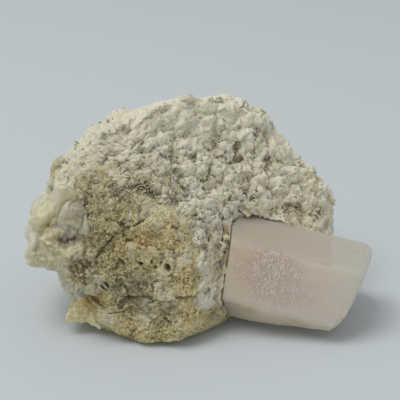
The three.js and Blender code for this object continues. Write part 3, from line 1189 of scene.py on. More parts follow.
@dataclass
class StainedRock:
    """The granular rock at the front, on which everything else grows."""

    quarry: Quarry
    marker: Marker
    voxel: float = 0.42
    coarse_depth: float = 4.0
    fracture: Fracture = Fracture(11.0, 0.2, 4.0, 0.12, 6.0, 0.8, 1.3, 0.6, 11.0, 3.0, 1.6, 1.3)
    foot: Pair = (0.3, 3.0)
    rough_top: Pair = (34.0, 46.0)
    quartz_rise: float = 0.8
    crust_rise: float = 0.6
    ledge_back: float = -0.4
    groove_floor: float = 0.4
    groove_rim: float = 1.3
    groove_soft: float = 0.15
    grooves: tuple[Groove, ...] = (
        Groove(((168, 268),), 0.9, 2.6),
        Groove(((167, 266), (169, 271)), 0.6, 2.6),
        Groove(((139, 263), (142, 264)), 0.35, 1.6),
        Groove(((152, 261), (152, 263)), 0.3, 1.0),
        Groove(((155, 267), (157, 267)), 0.3, 1.2),
        Groove(((133, 222),), 0.35, 0.8),
        Groove(((134, 226),), 0.35, 0.8),
        Groove(((114, 211),), 0.3, 1.0),
        Groove(((137, 225), (142, 221), (147, 219)), 0.2, 0.7),
        Groove(((202, 288), (206, 292), (212, 288), (217, 285)), 0.3, 0.8),
        Groove(((206, 292),), 0.9, 1.6),
        Groove(((172, 250), (172, 257)), 0.25, 0.8),
        Groove(((172, 282), (173, 285)), 0.25, 0.8),
        Groove(((145, 283), (147, 286)), 0.3, 0.9),
        Groove(((105, 283), (108, 287)), 0.45, 1.0),
        Groove(((101, 286), (106, 291)), 0.3, 0.8),
        Groove(((126, 276), (127, 278)), 0.3, 0.8),
        Groove(((110, 314), (122, 312), (132, 307)), 0.2, 0.6),
        Groove(((175, 297), (187, 298), (196, 296)), 0.2, 0.6),
        Groove(((164, 318), (170, 323)), 0.35, 0.8),
        Groove(((176, 322),), 0.35, 0.8),
        Groove(((118, 227), (113, 236), (108, 243), (103, 251), (97, 257)), 0.2, 0.8),
    )
    ledges: tuple[Ledge, ...] = (
        Ledge(((116, 230), (112, 236), (105, 245), (98, 256)), (-0.8, 0.0, 0.6), 0.5, 7.0),
        Ledge(((137, 226), (146, 219), (158, 216)), (0.5, 0.0, -0.86), 0.4, 5.0),
        Ledge(((128, 296), (150, 300), (176, 298), (196, 296)), (0.0, 0.0, 1.0), 0.4, 5.0),
    )

    def build(self, tree: FractureTree, finish: Material) -> Piece:
        """Builds and dresses the rock."""
        others = (CRUST, BERYL, *QUARTZ)
        piece = self.quarry.even_copy(ROCK, "stained_rock", self.voxel, others, self.coarse_depth)
        mesh = piece.data
        points = points_of(mesh)
        level = points[:, 2] / MM
        loose = smoothstep(0.3, 1.2, self.quarry.distance(points, (BERYL,))) * smoothstep(*self.foot, level)
        loose *= 1 + 0.6 * smoothstep(*self.rough_top, level)
        write(mesh, loose=loose, calm=self.marker.share(points, Mark.CALM))
        self._step(mesh, loose)
        rise = self.quartz_rise * fade(0.3, 2.2, self.quarry.distance(points, QUARTZ))
        rise += self.crust_rise * fade(0.3, 2.0, self.quarry.distance(points, (CRUST,)))
        raise_surface(mesh, rise)
        tree.run(piece, self.fracture.inputs())
        self._carve(piece.data)
        # Painted shade with grime: how deep each point lies in a hollow; the finish darkens the hollows and
        # lightens the ridges.
        shade_and_grime = 0.5 + 0.9 * cavity(piece.data, 5) + 0.12 * cavity(piece.data, BROAD)
        write(piece.data, hollow=np.clip(shade_and_grime, 0, 1))
        self.marker.stain(piece)
        return finished(piece, finish, ROCK)

    def _step(self, mesh: Mesh, loose: np.ndarray) -> None:
        """Raises the ledges."""
        points = points_of(mesh)
        raised = np.zeros(len(points))
        for ledge in self.ledges:
            spots = [self.quarry.spot(at) for at in ledge.along]
            away = np.stack([self.quarry.spread(points, *ends) for ends in zip(spots, spots[1:])])
            above = (points - np.array(spots)[away.argmin(axis=0)]) @ np.array(ledge.up) > 0
            lift = np.where(above, 1.0, self.ledge_back) * ledge.rise
            raised += lift * fade(0, ledge.reach, away.min(axis=0))
        raise_surface(mesh, raised * loose)

    def _carve(self, mesh: Mesh) -> None:
        """Sinks the pits and cracks into the surface."""
        points = points_of(mesh)
        sunk = np.zeros(len(points))
        for groove in self.grooves:
            spots = [self.quarry.spot(at) for at in groove.along]
            for start, end in zip(spots, spots[1:] or spots):
                away = self.quarry.spread(points, start, end)
                rim = self.groove_rim * groove.width + self.groove_soft
                sunk = np.maximum(sunk, groove.depth * fade(self.groove_floor * groove.width, rim, away))
        raise_surface(mesh, -sunk)


# ---- The bladed crust ------------------------------------------------------------------------------------


def blade_mesh(name: str, outline: Sequence[Pair]) -> Piece:
    """A flat blade of unit thickness, width and height, for the clumps to copy.

    Args:
        name: the object's name.
        outline: corners across (y) and up (z) from the blade's foot.

    Returns:
        An object that isn't linked into the scene.
    """
    count = len(outline)
    corners = [(side, y, z) for side in (0.5, -0.5) for y, z in outline]
    faces: list[tuple[int, ...]] = [tuple(range(count)), tuple(reversed(range(count, 2 * count)))]
    for i in range(count):
        j = (i + 1) % count
        faces.append((j, i, count + i, count + j))
    mesh = bpy.data.meshes.new(name)
    mesh.from_pydata(corners, [], faces)
    with sculpt(mesh, mesh) as shape:
        bmesh.ops.recalc_face_normals(shape, faces=shape.faces)
    write(mesh, tip=np.array([z for _, _, z in corners]))
    return bpy.data.objects.new(name, mesh)


@dataclass(frozen=True)
class Thicket:
    """The sizes of one stand of blades, in mm.

    Step is the distance between neighbours in a clump, tilt how far in radians each lies over on the next,
    sheaf the width over which clumps point the same way, and lean how far a clump leans with its sheaf.
    """

    spacing: float = 2.0
    width: float = 2.4
    height: float = 2.2
    thickness: float = 0.4
    step: float = 0.4
    sheaf: float = 9.0
    tilt: float = 0.3
    lean: float = 1.3
    least_blades: int = 4
    most_blades: int = 8

    def inputs(self) -> dict[str, Any]:
        """The tree's inputs."""
        return values_of(self, ("Tilt", "Lean", "Blades"))


class ThicketTree(Geometry):
    """Geometry nodes that grow clumps of tilted, overlapping blades, where the attribute "growth" is high."""

    def __init__(self, blades: Sequence[Piece]) -> None:
        """Builds the tree for the given blade shapes."""
        sockets = {label: "Int" if "Blades" in label else "Float" for label in labels_of(Thicket)}
        sockets |= {"From X": "Float", "To X": "Float", "Seed": "Int", "Finish": "Material"}
        super().__init__("thicket", sockets)
        self.growth = self.attribute("growth")
        copies, rank, stance = self._copies(self._clumps())
        spread, pose = self._fan(copies, rank, stance)
        self.give_real(self._plant(spread, pose, blades))

    def _combined(self, *parts: Any) -> Node:
        """A vector of sockets and numbers."""
        return self.add("ShaderNodeCombineXYZ", dict(enumerate(parts)))

    def _clumps(self) -> Node:
        """One point for each clump, between the two values of X."""
        place = self.add("ShaderNodeSeparateXYZ", {0: self.add("GeometryNodeInputPosition")})
        after = self.add("FunctionNodeCompare", {0: place, 1: self.ask["From X"]}, operation="GREATER_EQUAL")
        before = self.add("FunctionNodeCompare", {0: place, 1: self.ask["To X"]}, operation="LESS_THAN")
        zone = self.add("FunctionNodeBooleanMath", {0: after, 1: before}, operation="AND")
        area = self.math("MULTIPLY", self.ask["Spacing"], self.ask["Spacing"])
        return self.scattered(self.math("DIVIDE", 3.0, area), self.growth, self.ask["Seed"], zone)

    def _copies(self, clumps: Node) -> tuple[Any, Any, Any]:
        """One point for each blade, its rank in the clump, and the clump's stance."""
        drift = self.noise(self.add("GeometryNodeInputPosition"), self.ask["Sheaf"], 1.0)
        sway = self.vector("SUBTRACT", drift.outputs["Color"], GREY)
        loose = self.random("FLOAT_VECTOR", (-0.25, -0.25, -0.25), (0.25, 0.25, 0.25), 2)
        nod = self.scaled(self.vector("ADD", sway, loose), self.ask["Lean"])
        axis = self.vector("ADD", clumps.outputs["Normal"], nod)
        upright = self.add("FunctionNodeAlignRotationToVector", {"Vector": axis}, axis="Z")
        swing = self.math("MULTIPLY_ADD", drift.outputs[0], 4 * math.tau, self.random("FLOAT", -0.9, 0.9, 7))
        stance = self.turned(upright, self._combined(0.0, 0.0, swing))
        kept = self.keep(clumps, "stance", "QUATERNION", stance)
        kept = self.keep(kept, "vigour", "FLOAT", self.random("FLOAT", 0.6, 1.25, 23))
        count = self.random("INT", self.ask["Least Blades"], self.ask["Most Blades"], 11)
        kept = self.keep(kept, "blades", "INT", count)
        blades_here = self.attribute("blades", "INT")
        amount = {"Geometry": kept, "Amount": blades_here}
        copies = self.add("GeometryNodeDuplicateElements", amount, domain="POINT")
        half = self.math("MULTIPLY", self.math("SUBTRACT", blades_here, 1.0), 0.5)
        rank = self.math("SUBTRACT", copies.outputs["Duplicate Index"], half)
        kept = self.keep(copies, "rank", "FLOAT", rank)
        self.vigour = self.attribute("vigour")
        return kept, self.attribute("rank"), self.attribute("stance", "QUATERNION")

    def _fan(self, copies: Any, rank: Any, stance: Any) -> tuple[Node, Node]:
        """Sets the blades of a clump in a row and tilts them, so that each overlaps the next."""
        jitter = self.random("FLOAT_VECTOR", (-0.2, -0.15, -0.52), (0.2, 0.15, -0.4), 3)
        apart = self.vector("ADD", self._combined(rank), jitter)
        sizes = self._combined(self.ask["Step"], self.ask["Width"], self.ask["Height"])
        grown = self.scaled(self.vector("MULTIPLY", apart, sizes), self.vigour)
        away = self.add("FunctionNodeRotateVector", {0: grown, 1: stance})
        spread = self.add("GeometryNodeSetPosition", {"Geometry": copies, "Offset": away})
        wobble = self.random("FLOAT_VECTOR", (-0.12, -0.08, -0.1), (0.12, 0.08, 0.1), 5)
        tilt = self._combined(0.0, self.math("MULTIPLY_ADD", rank, 0.05, self.ask["Tilt"]))
        return spread, self.turned(stance, self.vector("ADD", tilt, wobble))

    def _plant(self, spread: Any, pose: Any, blades: Sequence[Piece]) -> Node:
        """Puts a blade of a random shape, size and tone on each point."""
        grow = self.random("FLOAT_VECTOR", (0.9, 0.6, 0.85), (1.5, 1.15, 1.1), 13)
        full = self._combined(self.ask["Thickness"], self.ask["Width"], self.ask["Height"])
        vigour = self.math("MULTIPLY", self.ranged(self.growth, 0.0, 1.0, 0.5, 1.0), self.vigour)
        shapes = self.add("GeometryNodeJoinGeometry")
        for blade in blades:
            info = self.add("GeometryNodeObjectInfo", {"Object": blade, "As Instance": True})
            self.tree.links.new(info.outputs["Geometry"], shapes.inputs[0])
        inputs = {"Points": spread, "Instance": shapes, "Pick Instance": True, "Rotation": pose}
        inputs["Instance Index"] = self.random("INT", 0, len(blades) - 1, 17)
        inputs["Scale"] = self.scaled(self.vector("MULTIPLY", grow, full), vigour)
        planted = self.add("GeometryNodeInstanceOnPoints", inputs)
        return self.keep(planted, "tone", "FLOAT", self.random("FLOAT", 0.0, 1.0, 19), "INSTANCE")


@dataclass
class Cleavelandite:
    """The white crust: a knobbly core, and fans of thin blades that stand on it."""

    quarry: Quarry
    marker: Marker
    voxel: float = 0.57
    coarse_depth: float = 5.0
    core_depth: float = 1.3
    beryl_rise: float = 0.4
    quartz_rise: float = 1.3
    rock_rise: float = 0.5
    fracture: Fracture = Fracture(6.0, 0.3, 2.4, 0.6, 6.4, 4.2, 2.4, 1.4, 16.0, 1.2, 1.1, 1.4)
    crust: Thicket = Thicket()
    zones: tuple[float, ...] = (-70.0, -30.0, -8.0, 14.0, 35.0, 70.0)
    # the height over which the top of the crust is painted paler: less grime and painted light
    clean_top: Pair = (62.0, 74.0)
    rim_share: float = 1.13
    edge_width: Pair = (1.0, 11.0)
    edge_left: Pair = (-35.0, -22.0)
    edge_right: Pair = (-8.0, 2.0)
    edge_top: Pair = (24.0, 36.0)
    edge_low: Pair = (6.0, 18.0)
    edge_rise: Pair = (-1.3, 1.4)
    edge_cut: float = -0.9
    edge_seed: int = 21
    window: tuple[Pair, ...] = (
        (231, 211), (245, 212), (258, 215), (280, 220), (296, 224), (304, 229),
        (313, 231), (322, 236), (331, 237), (340, 300), (226, 300), (229, 240),
    )
    outlines: tuple[tuple[Pair, ...], ...] = (
        ((-0.45, 0.0), (-0.5, 0.82), (-0.3, 1.0), (0.2, 0.93), (0.5, 0.86), (0.45, 0.0)),
        ((-0.42, 0.0), (-0.5, 0.9), (-0.1, 0.88), (0.2, 1.0), (0.5, 0.8), (0.4, 0.0)),
        ((-0.4, 0.0), (-0.5, 0.76), (-0.36, 0.94), (0.06, 0.9), (0.46, 1.0), (0.42, 0.0)),
    )

    def build(self, tree: FractureTree, albite: BladedAlbite, rock: Piece) -> None:
        """Builds the core, its thin edge over the rock, and the blades on both."""
        finish = albite.material("thin blades", ribbed=False)
        core = self._core(tree)
        thicket = ThicketTree([blade_mesh(f"blade_{i}", outline) for i, outline in enumerate(self.outlines)])
        for number, zone in enumerate(zip(self.zones, self.zones[1:])):
            self._grow(core, thicket, f"cleavelandite_blades_{number}", finish, zone)
        edge = self._edge(rock, tree)
        self._grow(edge, thicket, "stained_blades", finish, (self.zones[0], self.zones[-1]))
        finished(edge, albite.material("packed blades, thin over rock"), None)
        finished(core, albite.material("packed blades", lit=True), CRUST)

    def _core(self, tree: FractureTree) -> Piece:
        """The knobbly body under the blades."""
        others = (ROCK, BERYL, *QUARTZ)
        core = self.quarry.even_copy(CRUST, "cleavelandite_core", self.voxel, others, self.coarse_depth)
        points = points_of(core.data)
        gap = self.quarry.distance(points, others)
        beryl_gap, rock_gap = (self.quarry.distance(points, (node,)) for node in (BERYL, ROCK))
        open_air = fade(1.5, 4.5, self.quarry.buried(points, gap))
        foot = smoothstep(0.5, 4.0, points[:, 2] / MM)
        sunk = 0.6 * self.marker.hollows(points) * smoothstep(0.5, 3.0, beryl_gap)
        depth = open_air * foot * (self.core_depth * (0.4 + 0.6 * smoothstep(0.3, 3.0, gap)) + sunk)
        depth -= self.beryl_rise * fade(0.5, 2.4, beryl_gap)
        depth -= self.quartz_rise * fade(0.5, 2.4, self.quarry.distance(points, QUARTZ))
        depth -= self.rock_rise * fade(0.3, 1.6, rock_gap)
        raise_surface(core.data, -depth)
        lively = self.marker.share(points, Mark.LIVELY)
        loose = open_air * foot * (0.4 + 0.6 * smoothstep(0.3, 2.2, beryl_gap)) * (0.8 + 0.2 * lively)
        loose *= 0.5 + 0.5 * smoothstep(1.0, 4.0, rock_gap)
        write(core.data, loose=loose, calm=0.2 * (1 - lively))
        self._break(core, tree)
        broken = points_of(core.data)
        shown = self.quarry.behind(broken, BERYL, self.window)
        bare = np.abs(shown - broken).sum(axis=1) > 0
        set_points(core.data, shown)
        rim = np.array(self.window)
        rim = (rim - rim.mean(axis=0)) * self.rim_share + rim.mean(axis=0)
        by_rim = within([tuple(at) for at in rim], self.quarry.view.places(shown))
        sparse = open_air * foot * (0.5 + 0.5 * smoothstep(0.5, 2.5, beryl_gap)) * (0.12 + 0.15 * lively)
        growth = np.where(by_rim, 0.7 * open_air * foot, sparse) * ~bare
        # The added darkening: a little more where the crust is lively, painted shade in the sunk hollows,
        # less along the crystal's rim.
        self._dress(core, growth, 0.1 * lively + 0.3 * sunk - 0.5 * by_rim)
        # The deepest hollows take this mark's colour too: stain and painted shade.
        pits = np.maximum(stored(core.data, Mark.BROWN.value), 0.8 * smoothstep(0.7, 1.4, sunk))
        write(core.data, brown=pits)
        return core

    def _break(self, piece: Piece, tree: FractureTree) -> None:
        """Breaks up the surface, and smooths out what folds over."""
        upright = normals_of(piece.data)
        tree.run(piece, self.fracture.inputs())
        unfold(piece.data, upright)

    def _dress(self, piece: Piece, growth: np.ndarray, dirt: np.ndarray) -> None:
        """Writes where blades grow, the painted shade and grime in the creases, the painted light from above,
        and the stains.

        Args:
            piece: the broken body.
            growth: how densely blades stand, from 0 to 1.
            dirt: what is added to the grime and painted shade that darken the hollows.
        """
        mesh = piece.data
        # Painted shade with grime: darker in the hollows, less near the top of the crust.
        crease = np.clip(dirt + 0.35 * cavity(mesh, BROAD) + 0.45 * cavity(mesh, 8), 0, 1)
        crease *= 1 - 0.6 * smoothstep(*self.clean_top, points_of(mesh)[:, 2] / MM)
        write(mesh, growth=growth * (1 - 0.7 * crease), crease=crease)
        # Painted light from above: faces that turn up are paler.
        write(mesh, tip=0.76 + 0.12 * normals_of(mesh)[:, 2], tone=0.5)
        self.marker.stain(piece, 0.5 + 0.5 * np.clip(2.5 * crease, 0, 1))

    def _edge(self, rock: Piece, tree: FractureTree) -> Piece:
        """The crust's thin edge, which runs out over the rock in clumps."""
        points = points_of(rock.data)
        across, level = points[:, 0] / MM, points[:, 2] / MM
        gap, beryl_gap = (self.quarry.distance(points, (node,)) for node in (CRUST, BERYL))
        near = fade(*self.edge_width, gap) * (0.25 + 0.75 * smoothstep(*self.edge_left, across))
        right = smoothstep(*self.edge_right, across)
        low = right * smoothstep(*self.edge_low, level)
        reach = near * np.maximum(smoothstep(*self.edge_top, level), low)
        grown = np.maximum(reach, self.marker.share(points, Mark.GROWN))
        write(rock.data, grown=0.8 * grown * smoothstep(0.8, 2.5, beryl_gap))
        edge = new_object("cleavelandite_edge", rock.data.copy())
        patchy = grown + 0.12 * ripple(points, 2.4, np.random.default_rng(self.edge_seed))
        rise = self.edge_rise[0] * (1 - patchy) + self.edge_rise[1] * patchy
        rise -= 0.4 * fade(0.3, 1.5, beryl_gap) + 5.0 * smoothstep(1.5, 3.0, self.quarry.buried(points, gap))
        write(edge.data, grown=grown, tan=0.5 * (1 - grown) + 0.5 * (1 - right))
        write(edge.data, calm=0.0, loose=0.55 * smoothstep(0.2, 1.0, beryl_gap))
        raise_surface(edge.data, rise)
        with sculpt(edge.data, edge.data) as shape:
            sunk = [vertex for vertex, high in zip(shape.verts, rise) if high < self.edge_cut]
            bmesh.ops.delete(shape, geom=sunk, context="VERTS")
        self._break(edge, tree)
        self._dress(edge, 0.2 * stored(edge.data, "grown"), stored(edge.data, "tan"))
        return edge

    def _grow(self, host: Piece, thicket: ThicketTree, name: str, finish: Material, zone: Pair) -> None:
        """Grows blades over the part of a host that lies between two values of X, in millimetres."""
        piece = new_object(name, host.data.copy())
        settings = {"From X": zone[0] * MM, "To X": zone[1] * MM, "Seed": 1, "Finish": finish}
        thicket.run(piece, self.crust.inputs() | settings)
        self.marker.stain(piece)
        finished(piece, finish, None, smooth=False)


# ---- The beryl -------------------------------------------------------------------------------------------


class PitTree(Geometry):
    """Geometry nodes that scatter the walls of etch pits where "front" is high, long in one direction."""

    def __init__(self, across: Triple) -> None:
        """Builds the tree for pits that are long in a direction across the prism."""
        super().__init__("etch_pits", {"Spacing": "Float", "Length": "Float", "Finish": "Material"})
        most_on_a_square_metre = 6.5e6
        points = self.scattered(most_on_a_square_metre, self.attribute("front"), 4)
        facing = {0: points.outputs["Normal"], 1: across}
        upright = self.add("FunctionNodeAxesToRotation", facing, primary_axis="Z", secondary_axis="X")
        sway = self.random("FLOAT_VECTOR", (-0.2, -0.2, -0.35), (0.2, 0.2, 0.35), 6)
        grow = self.random("FLOAT_VECTOR", (0.35, 0.25, 0.4), (1.0, 0.5, 0.85), 9)
        spark = self.add("GeometryNodeMeshIcoSphere", {"Radius": 0.5, "Subdivisions": 1})
        inputs = {"Points": points, "Instance": spark, "Rotation": self.turned(upright, sway)}
        inputs["Scale"] = self.scaled(grow, self.ask["Length"])
        self.give_real(self.add("GeometryNodeInstanceOnPoints", inputs))


@dataclass(frozen=True)
class Chamfer:
    """A small face that cuts off a corner: a point on it and its normal, along, up and out (mm)."""

    at: Triple
    normal: Triple


@dataclass
class MorganiteCrystal:
    """The hexagonal prism: flat faces with rounded edges, corner chips, and an etched patch on its front."""

    quarry: Quarry
    marker: Marker
    centre: Triple = (34.74, -18.97, 14.0)
    along: Triple = (0.966, -0.171, -0.192)
    up: Triple = (0.244, 0.365, 0.898)
    out: Triple = (-0.084, -0.915, 0.395)
    long_bevel: float = 5.0
    end_bevel: float = 0.7
    voxel: float = 0.42
    chamfers: tuple[Chamfer, ...] = (
        Chamfer((25.2, 20.0, 0.0), (0.62, 0.78, 0.1)),
        Chamfer((20.6, -9.0, 17.4), (0.5, -0.45, 0.74)),
        Chamfer((18.8, -11.5, 14.7), (0.72, -0.66, 0.2)),
    )
    etched_at: tuple[Pair, ...] = (
        (245, 258), (262, 262), (278, 266), (262, 282), (285, 284),
        (245, 280), (272, 296), (300, 296), (290, 250),
    )
    seam: float = 331.0
    front: Pair = (16.5, 18.0)
    underside: Pair = (-11.2, -12.4)
    flat: float = 2.0
    long_edge: float = 8.0
    end_edge: float = 24.0
    etched_reach: float = 6.0
    etch_depth: float = 0.16
    etch_size: float = 0.9
    etch_seed: int = 5
    pit_seed: int = 8
    pit_spacing: float = 0.42
    pit_length: float = 0.85

    def build(self, finish: Material, pits: Material) -> None:
        """Builds and dresses the crystal and the etch pits on its front."""
        piece = self.quarry.copy(BERYL, "morganite")
        self._round_edges(piece.data)
        voxelise(piece, self.voxel)
        set_points(piece.data, smoothed(piece.data, 2))
        self._etch(piece.data)
        self.marker.stain(piece)
        finished(piece, finish, BERYL)
        self._pits(piece, pits)

    def _place(self, at: Triple) -> Vector:
        """A place given along, up and out of the crystal, in metres."""
        axes = (self.along, self.up, self.out)
        return sum((Vector(axis) * part for axis, part in zip(axes, at)), Vector(self.centre)) * MM

    def _inner(self, points: np.ndarray) -> np.ndarray:
        """How far points are from the middle along, up and out of the crystal, as three rows in mm."""
        return ((points / MM - np.array(self.centre)) @ np.array((self.along, self.up, self.out)).T).T

    def _round_edges(self, mesh: Mesh) -> None:
        """Joins coplanar triangles into whole faces, cuts the corner chips and bevels the edges."""
        with sculpt(mesh, mesh) as shape:
            self._join_faces(shape)
            for chamfer in self.chamfers:
                cut = bmesh.ops.bisect_plane(
                    shape,
                    geom=shape.verts[:] + shape.edges[:] + shape.faces[:],
                    dist=WELD,
                    plane_co=self._place(chamfer.at),
                    plane_no=(self._place(chamfer.normal) - self._place((0, 0, 0))).normalized(),
                    clear_outer=True,
                )
                rim = [edge for edge in cut["geom_cut"] if isinstance(edge, Edge)]
                bmesh.ops.contextual_create(shape, geom=rim)
            bmesh.ops.recalc_face_normals(shape, faces=shape.faces)
            axis = Vector(self.along)
            long = []
            for edge in self._sharp(shape, self.long_edge):
                start, end = (vertex.co for vertex in edge.verts)
                if abs((end - start).normalized().dot(axis)) > 0.97:
                    long.append(edge)
            self._bevel(shape, long, self.long_bevel, 6)
            self._bevel(shape, self._sharp(shape, self.end_edge), self.end_bevel, 3)

    def _join_faces(self, shape: Shape) -> None:
        """Joins the triangles of each flat face."""
        limit = math.radians(self.flat)
        bmesh.ops.dissolve_limit(shape, angle_limit=limit, verts=shape.verts, edges=shape.edges)

    @staticmethod
    def _sharp(shape: Shape, angle: float) -> list[Edge]:
        """The edges at which a shape turns by more than an angle in degrees."""
        return [edge for edge in shape.edges if edge.calc_face_angle(0.0) > math.radians(angle)]

    @staticmethod
    def _bevel(shape: Shape, edges: list[Edge], size: float, segments: int) -> None:
        """Rounds some edges of a shape by a size in mm."""
        form = {"segments": segments, "profile": 0.5, "affect": "EDGES", "clamp_overlap": True}
        bmesh.ops.bevel(shape, geom=edges, offset=size * MM, **form)

    def _etch(self, mesh: Mesh) -> None:
        """Sinks shallow etch pits into a patch of the front face, and roughens the broken underside."""
        points, normals = points_of(mesh), normals_of(mesh)
        along, up, out = self._inner(points)
        rng = np.random.default_rng(self.etch_seed)
        fine, broad, chip = (ripple(points, size, rng) for size in (self.etch_size, 3.5, 1.6))
        patch = np.zeros(len(points))
        for at in self.etched_at:
            patch += self.quarry.around(points, at, self.etched_reach)
        patch = smoothstep(0.2, 1.8, patch + 0.35 * broad) * smoothstep(*self.front, out)
        under = smoothstep(*self.underside, up)
        corner = smoothstep(17.0, 20.5, along - 0.4 * chip) * smoothstep(-5.0, -8.0, up)
        beyond = self.quarry.view.places(points)[:, 0] - self.seam - 0.6 * chip
        clear = 0.35 + 0.65 * smoothstep(-10.0, 8.0, up)
        # Painted shade: the faces that turn up and the band along the long edges are darkened.
        steep = normals @ np.array(self.up)
        edge = np.exp(-(((steep - 0.45) / 0.2) ** 2))
        write(
            mesh,
            etch=np.clip(patch + under + corner, 0, 1),
            root=fade(-22.0, 6.0, along - 0.5 * up),
            tip=0.7 * smoothstep(-1.0, 1.5, beyond) * clear,
            # under: painted light on the underside
            under=smoothstep(-10.0, -12.2, up - 0.5 * broad),
            crown=0.6 * smoothstep(0.05, 0.5, steep) + 0.4 * edge,
        )
        for mark in (Mark.MILK, Mark.PALE):
            spots = self.marker.strength(points, mark) * (0.8 + 0.7 * chip)
            write(mesh, **{mark.value: 0.6 * smoothstep(0.15, 1.0, spots)})
        worn = fade(0.5, 2.2, self._rim(points))
        depth = 0.35 * fine + 0.65 * broad
        sunk = self.etch_depth * patch * depth + 0.35 * (under + corner) * np.clip(0.4 + 0.6 * depth, 0, 1.5)
        sunk += 0.1 * broad + 0.3 * worn * np.clip(chip + 0.4 * broad, 0, 2)
        raise_surface(mesh, -sunk)

    def _rim(self, points: np.ndarray) -> np.ndarray:
        """How far points are, in mm, from the nearest sharp edge of the solid's ends."""
        solid = self.quarry.copy(BERYL, "beryl_edges")
        away = np.full(len(points), FAR)
        with sculpt(solid.data, None) as shape:
            self._join_faces(shape)
            for edge in shape.edges:
                start, end = (np.array(vertex.co) for vertex in edge.verts)
                way = end - start
                if abs(way @ np.array(self.along)) < 0.9 * np.linalg.norm(way):
                    share = np.clip((points - start) @ way / (way @ way), 0, 1)
                    gap = np.linalg.norm(points - start - share[:, None] * way, axis=1)
                    away = np.minimum(away, gap / MM)
        bpy.data.objects.remove(solid)
        return away

    def _pits(self, crystal: Piece, finish: Material) -> None:
        """Scatters the walls of etch pits over the front face, painted near white as glints."""
        piece = new_object("etch_pits", crystal.data.copy())
        points = points_of(piece.data)
        _, up, out = self._inner(points)
        front = smoothstep(17.8, 18.5, out) * smoothstep(-10.6, -9.0, up)
        rng = np.random.default_rng(self.pit_seed)
        clusters = smoothstep(-0.9, 1.3, ripple(points, 1.8, rng) + ripple(points, 4.0, rng))
        front *= (0.015 + 0.985 * stored(piece.data, "etch")) * (0.15 + 0.85 * clusters)
        write(piece.data, front=front)
        sizes = {"Spacing": self.pit_spacing * MM, "Length": self.pit_length * MM, "Finish": finish}
        PitTree(self.up).run(piece, sizes)
        finished(piece, finish, None, smooth=False)


# ---- The quartz ------------------------------------------------------------------------------------------


@dataclass(frozen=True)
class Bead:
    """A rounded glassy body: its place in the view, half sizes and depth in the rock (mm), and a cut below.

    The cut is at a height in mm from the middle, and rises to the right by an angle in degrees.
    """

    name: str
    at: Pair
    half: Triple
    depth: float
    floor: float
    slant: float


@dataclass
class CloudyQuartzPieces:
    """The quartz that juts from the left side: a lobed mass, a knob, a small point and two glassy bodies."""

    quarry: Quarry
    marker: Marker
    voxel: float = 0.42
    seam_rise: float = 0.8
    fracture: Fracture = Fracture(9.0, 0.5, 4.0, 0.5, 8.0, 0.8, 1.3, 0.5, 9.0, 2.6, 2.0, 1.6)
    bead_fracture: Fracture = Fracture(6.0, 0.5, 3.0, 0.2, 6.0, 0.0, 2.0, 0.1, 4.0, 1.6, 0.8, 0.1)
    beads: tuple[Bead, ...] = (
        Bead("quartz_lens", (73, 217), (6.4, 2.4, 7.0), 2.1, -5.0, 12.0),
        Bead("quartz_pebble", (80, 291), (2.2, 2.0, 2.1), 0.1, -9.0, 0.0),
    )

    def build(self, tree: FractureTree, finishes: Sequence[Material]) -> None:
        """Builds and dresses the pieces, in a clean, a yellow and a rosy finish."""
        clean, yellow, rosy = finishes
        for node in QUARTZ:
            piece = self.quarry.copy(node, node + "_glassy")
            voxelise(piece, self.voxel)
            others = [name for name in self.quarry.nodes if name != node]
            self._break(piece, tree, fade(0.3, 2.2, self.quarry.distance(points_of(piece.data), others)))
            knob = node == "quartz_knob"
            finished(piece, yellow if knob else clean, node)
        for bead in self.beads:
            self._bead(tree, bead, rosy)

    def _break(self, piece: Piece, tree: FractureTree, near: np.ndarray) -> None:
        """Sinks the hollows, closes the seams, and breaks the surface: gritty where coated.

        The second even mesh joins the folds that steep steps make.
        """
        points = points_of(piece.data)
        raise_surface(piece.data, self.seam_rise * near - self.marker.hollows(points))
        write(piece.data, loose=1.0, calm=0.9 * (1 - self.marker.share(points, Mark.COAT)))
        tree.run(piece, self.fracture.inputs())
        voxelise(piece, self.voxel)
        write(piece.data, coat=self.marker.share(points_of(piece.data), Mark.COAT))
        self.marker.stain(piece)

    def _bead(self, tree: FractureTree, bead: Bead, finish: Material) -> None:
        """A rounded body that stands half out of the surface."""
        spot = Vector(self.quarry.spot(bead.at))
        centre = spot + (spot - self.quarry.view.position).normalized() * bead.depth * MM
        slope = math.tan(math.radians(bead.slant))
        mesh = bpy.data.meshes.new(bead.name)
        with sculpt(None, mesh) as shape:
            bmesh.ops.create_icosphere(shape, subdivisions=4, radius=1.0)
            for vertex in shape.verts:
                vertex.co = Vector([c * h for c, h in zip(vertex.co, bead.half)])
                vertex.co.z = max(vertex.co.z, bead.floor + slope * vertex.co.x)
                vertex.co = vertex.co * MM + centre
        piece = new_object(bead.name, mesh)
        voxelise(piece, self.voxel)
        write(piece.data, loose=1.0, calm=0.0, coat=0.0)
        tree.run(piece, self.bead_fracture.inputs())
        self.marker.stain(piece, 0.25)
        finished(piece, finish, None)


# ---- The studio ------------------------------------------------------------------------------------------


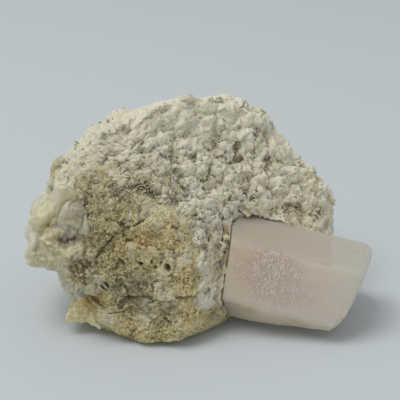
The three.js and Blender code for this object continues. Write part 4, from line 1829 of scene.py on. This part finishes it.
@dataclass(frozen=True)
class Studio:
    """A pale floor under soft light, and the camera."""

    view: Viewpoint
    floor_colour: str = "#cbd1d4"
    floor_reach: float = 6.0
    world_colour: str = "#f3f6f8"
    world_strength: float = 0.53
    key_size: float = 1.6
    key_place: Triple = (-0.9, -0.5, 2.1)
    key_power: float = 26.0
    clipped: Pair = (0.01, 50.0)

    def build(self) -> None:
        """Builds the floor, the lights and the camera."""
        self._floor()
        self._lights()
        self._camera()

    def _floor(self) -> None:
        """A flat matt floor."""
        mesh = bpy.data.meshes.new("floor")
        r = self.floor_reach
        mesh.from_pydata([(-r, -r, 0), (r, -r, 0), (r, r, 0), (-r, r, 0)], [], [(0, 1, 2, 3)])
        floor = new_object("floor", mesh)
        paper = Shader("paper, matt, pale grey")
        mesh.materials.append(paper.surface({"Base Color": linear(self.floor_colour), "Roughness": 0.9}))
        floor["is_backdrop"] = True

    def _stand(self, name: str, data: bpy.types.ID, place: Vector, way: Vector) -> Piece:
        """Puts a lamp or a camera at a place, turned to face a way."""
        made = new_object(name, data)
        made.location = place
        made.rotation_euler = way.to_track_quat("-Z", "Y").to_euler()
        return made

    def _lights(self) -> None:
        """An even tent of light and one large soft lamp above."""
        world = bpy.data.worlds.new("tent")
        world.use_nodes = True
        background = world.node_tree.nodes["Background"]
        background.inputs["Color"].default_value = linear(self.world_colour)
        background.inputs["Strength"].default_value = self.world_strength
        bpy.context.scene.world = world
        lamp = bpy.data.lights.new("softbox", "AREA")
        lamp.shape = "DISK"
        lamp.size = self.key_size
        lamp.energy = self.key_power
        self._stand("softbox", lamp, Vector(self.key_place), -Vector(self.key_place))

    def _camera(self) -> None:
        """The camera at the viewpoint."""
        data = bpy.data.cameras.new("camera")
        data.angle = math.radians(self.view.field_of_view)
        data.clip_start, data.clip_end = self.clipped
        bpy.context.scene.camera = self._stand("camera", data, self.view.position, self.view.forward)
        bpy.context.scene.view_settings.view_transform = "Standard"


def main() -> None:
    """Builds the specimen and its studio."""
    logging.basicConfig(level=logging.INFO, format="%(name)s %(message)s")
    view = Viewpoint()
    quarry = Quarry(view)
    marker = Marker(quarry)
    tree = FractureTree()
    rock = StainedRock(quarry, marker).build(tree, BrokenAlbite().material())
    Cleavelandite(quarry, marker).build(tree, BladedAlbite(), rock)
    MorganiteCrystal(quarry, marker).build(ClearBeryl().material(), PitWalls().material())
    yellow = CloudyQuartz("quartz, iron-stained, broken glassy", "#f6edc8", "#e2d29a", transmission=0.1)
    rosy = CloudyQuartz("quartz, faintly rosy, smooth", "#e9e1cc", "#ddd3b8")
    finishes = [finish.material() for finish in (CloudyQuartz(), yellow, rosy)]
    CloudyQuartzPieces(quarry, marker).build(tree, finishes)
    for piece in bpy.context.scene.objects:
        if piece.type == "MESH" and piece.name not in quarry.nodes:
            marker.fit(piece)
    Studio(view).build()


if __name__ == "__main__":
    main()
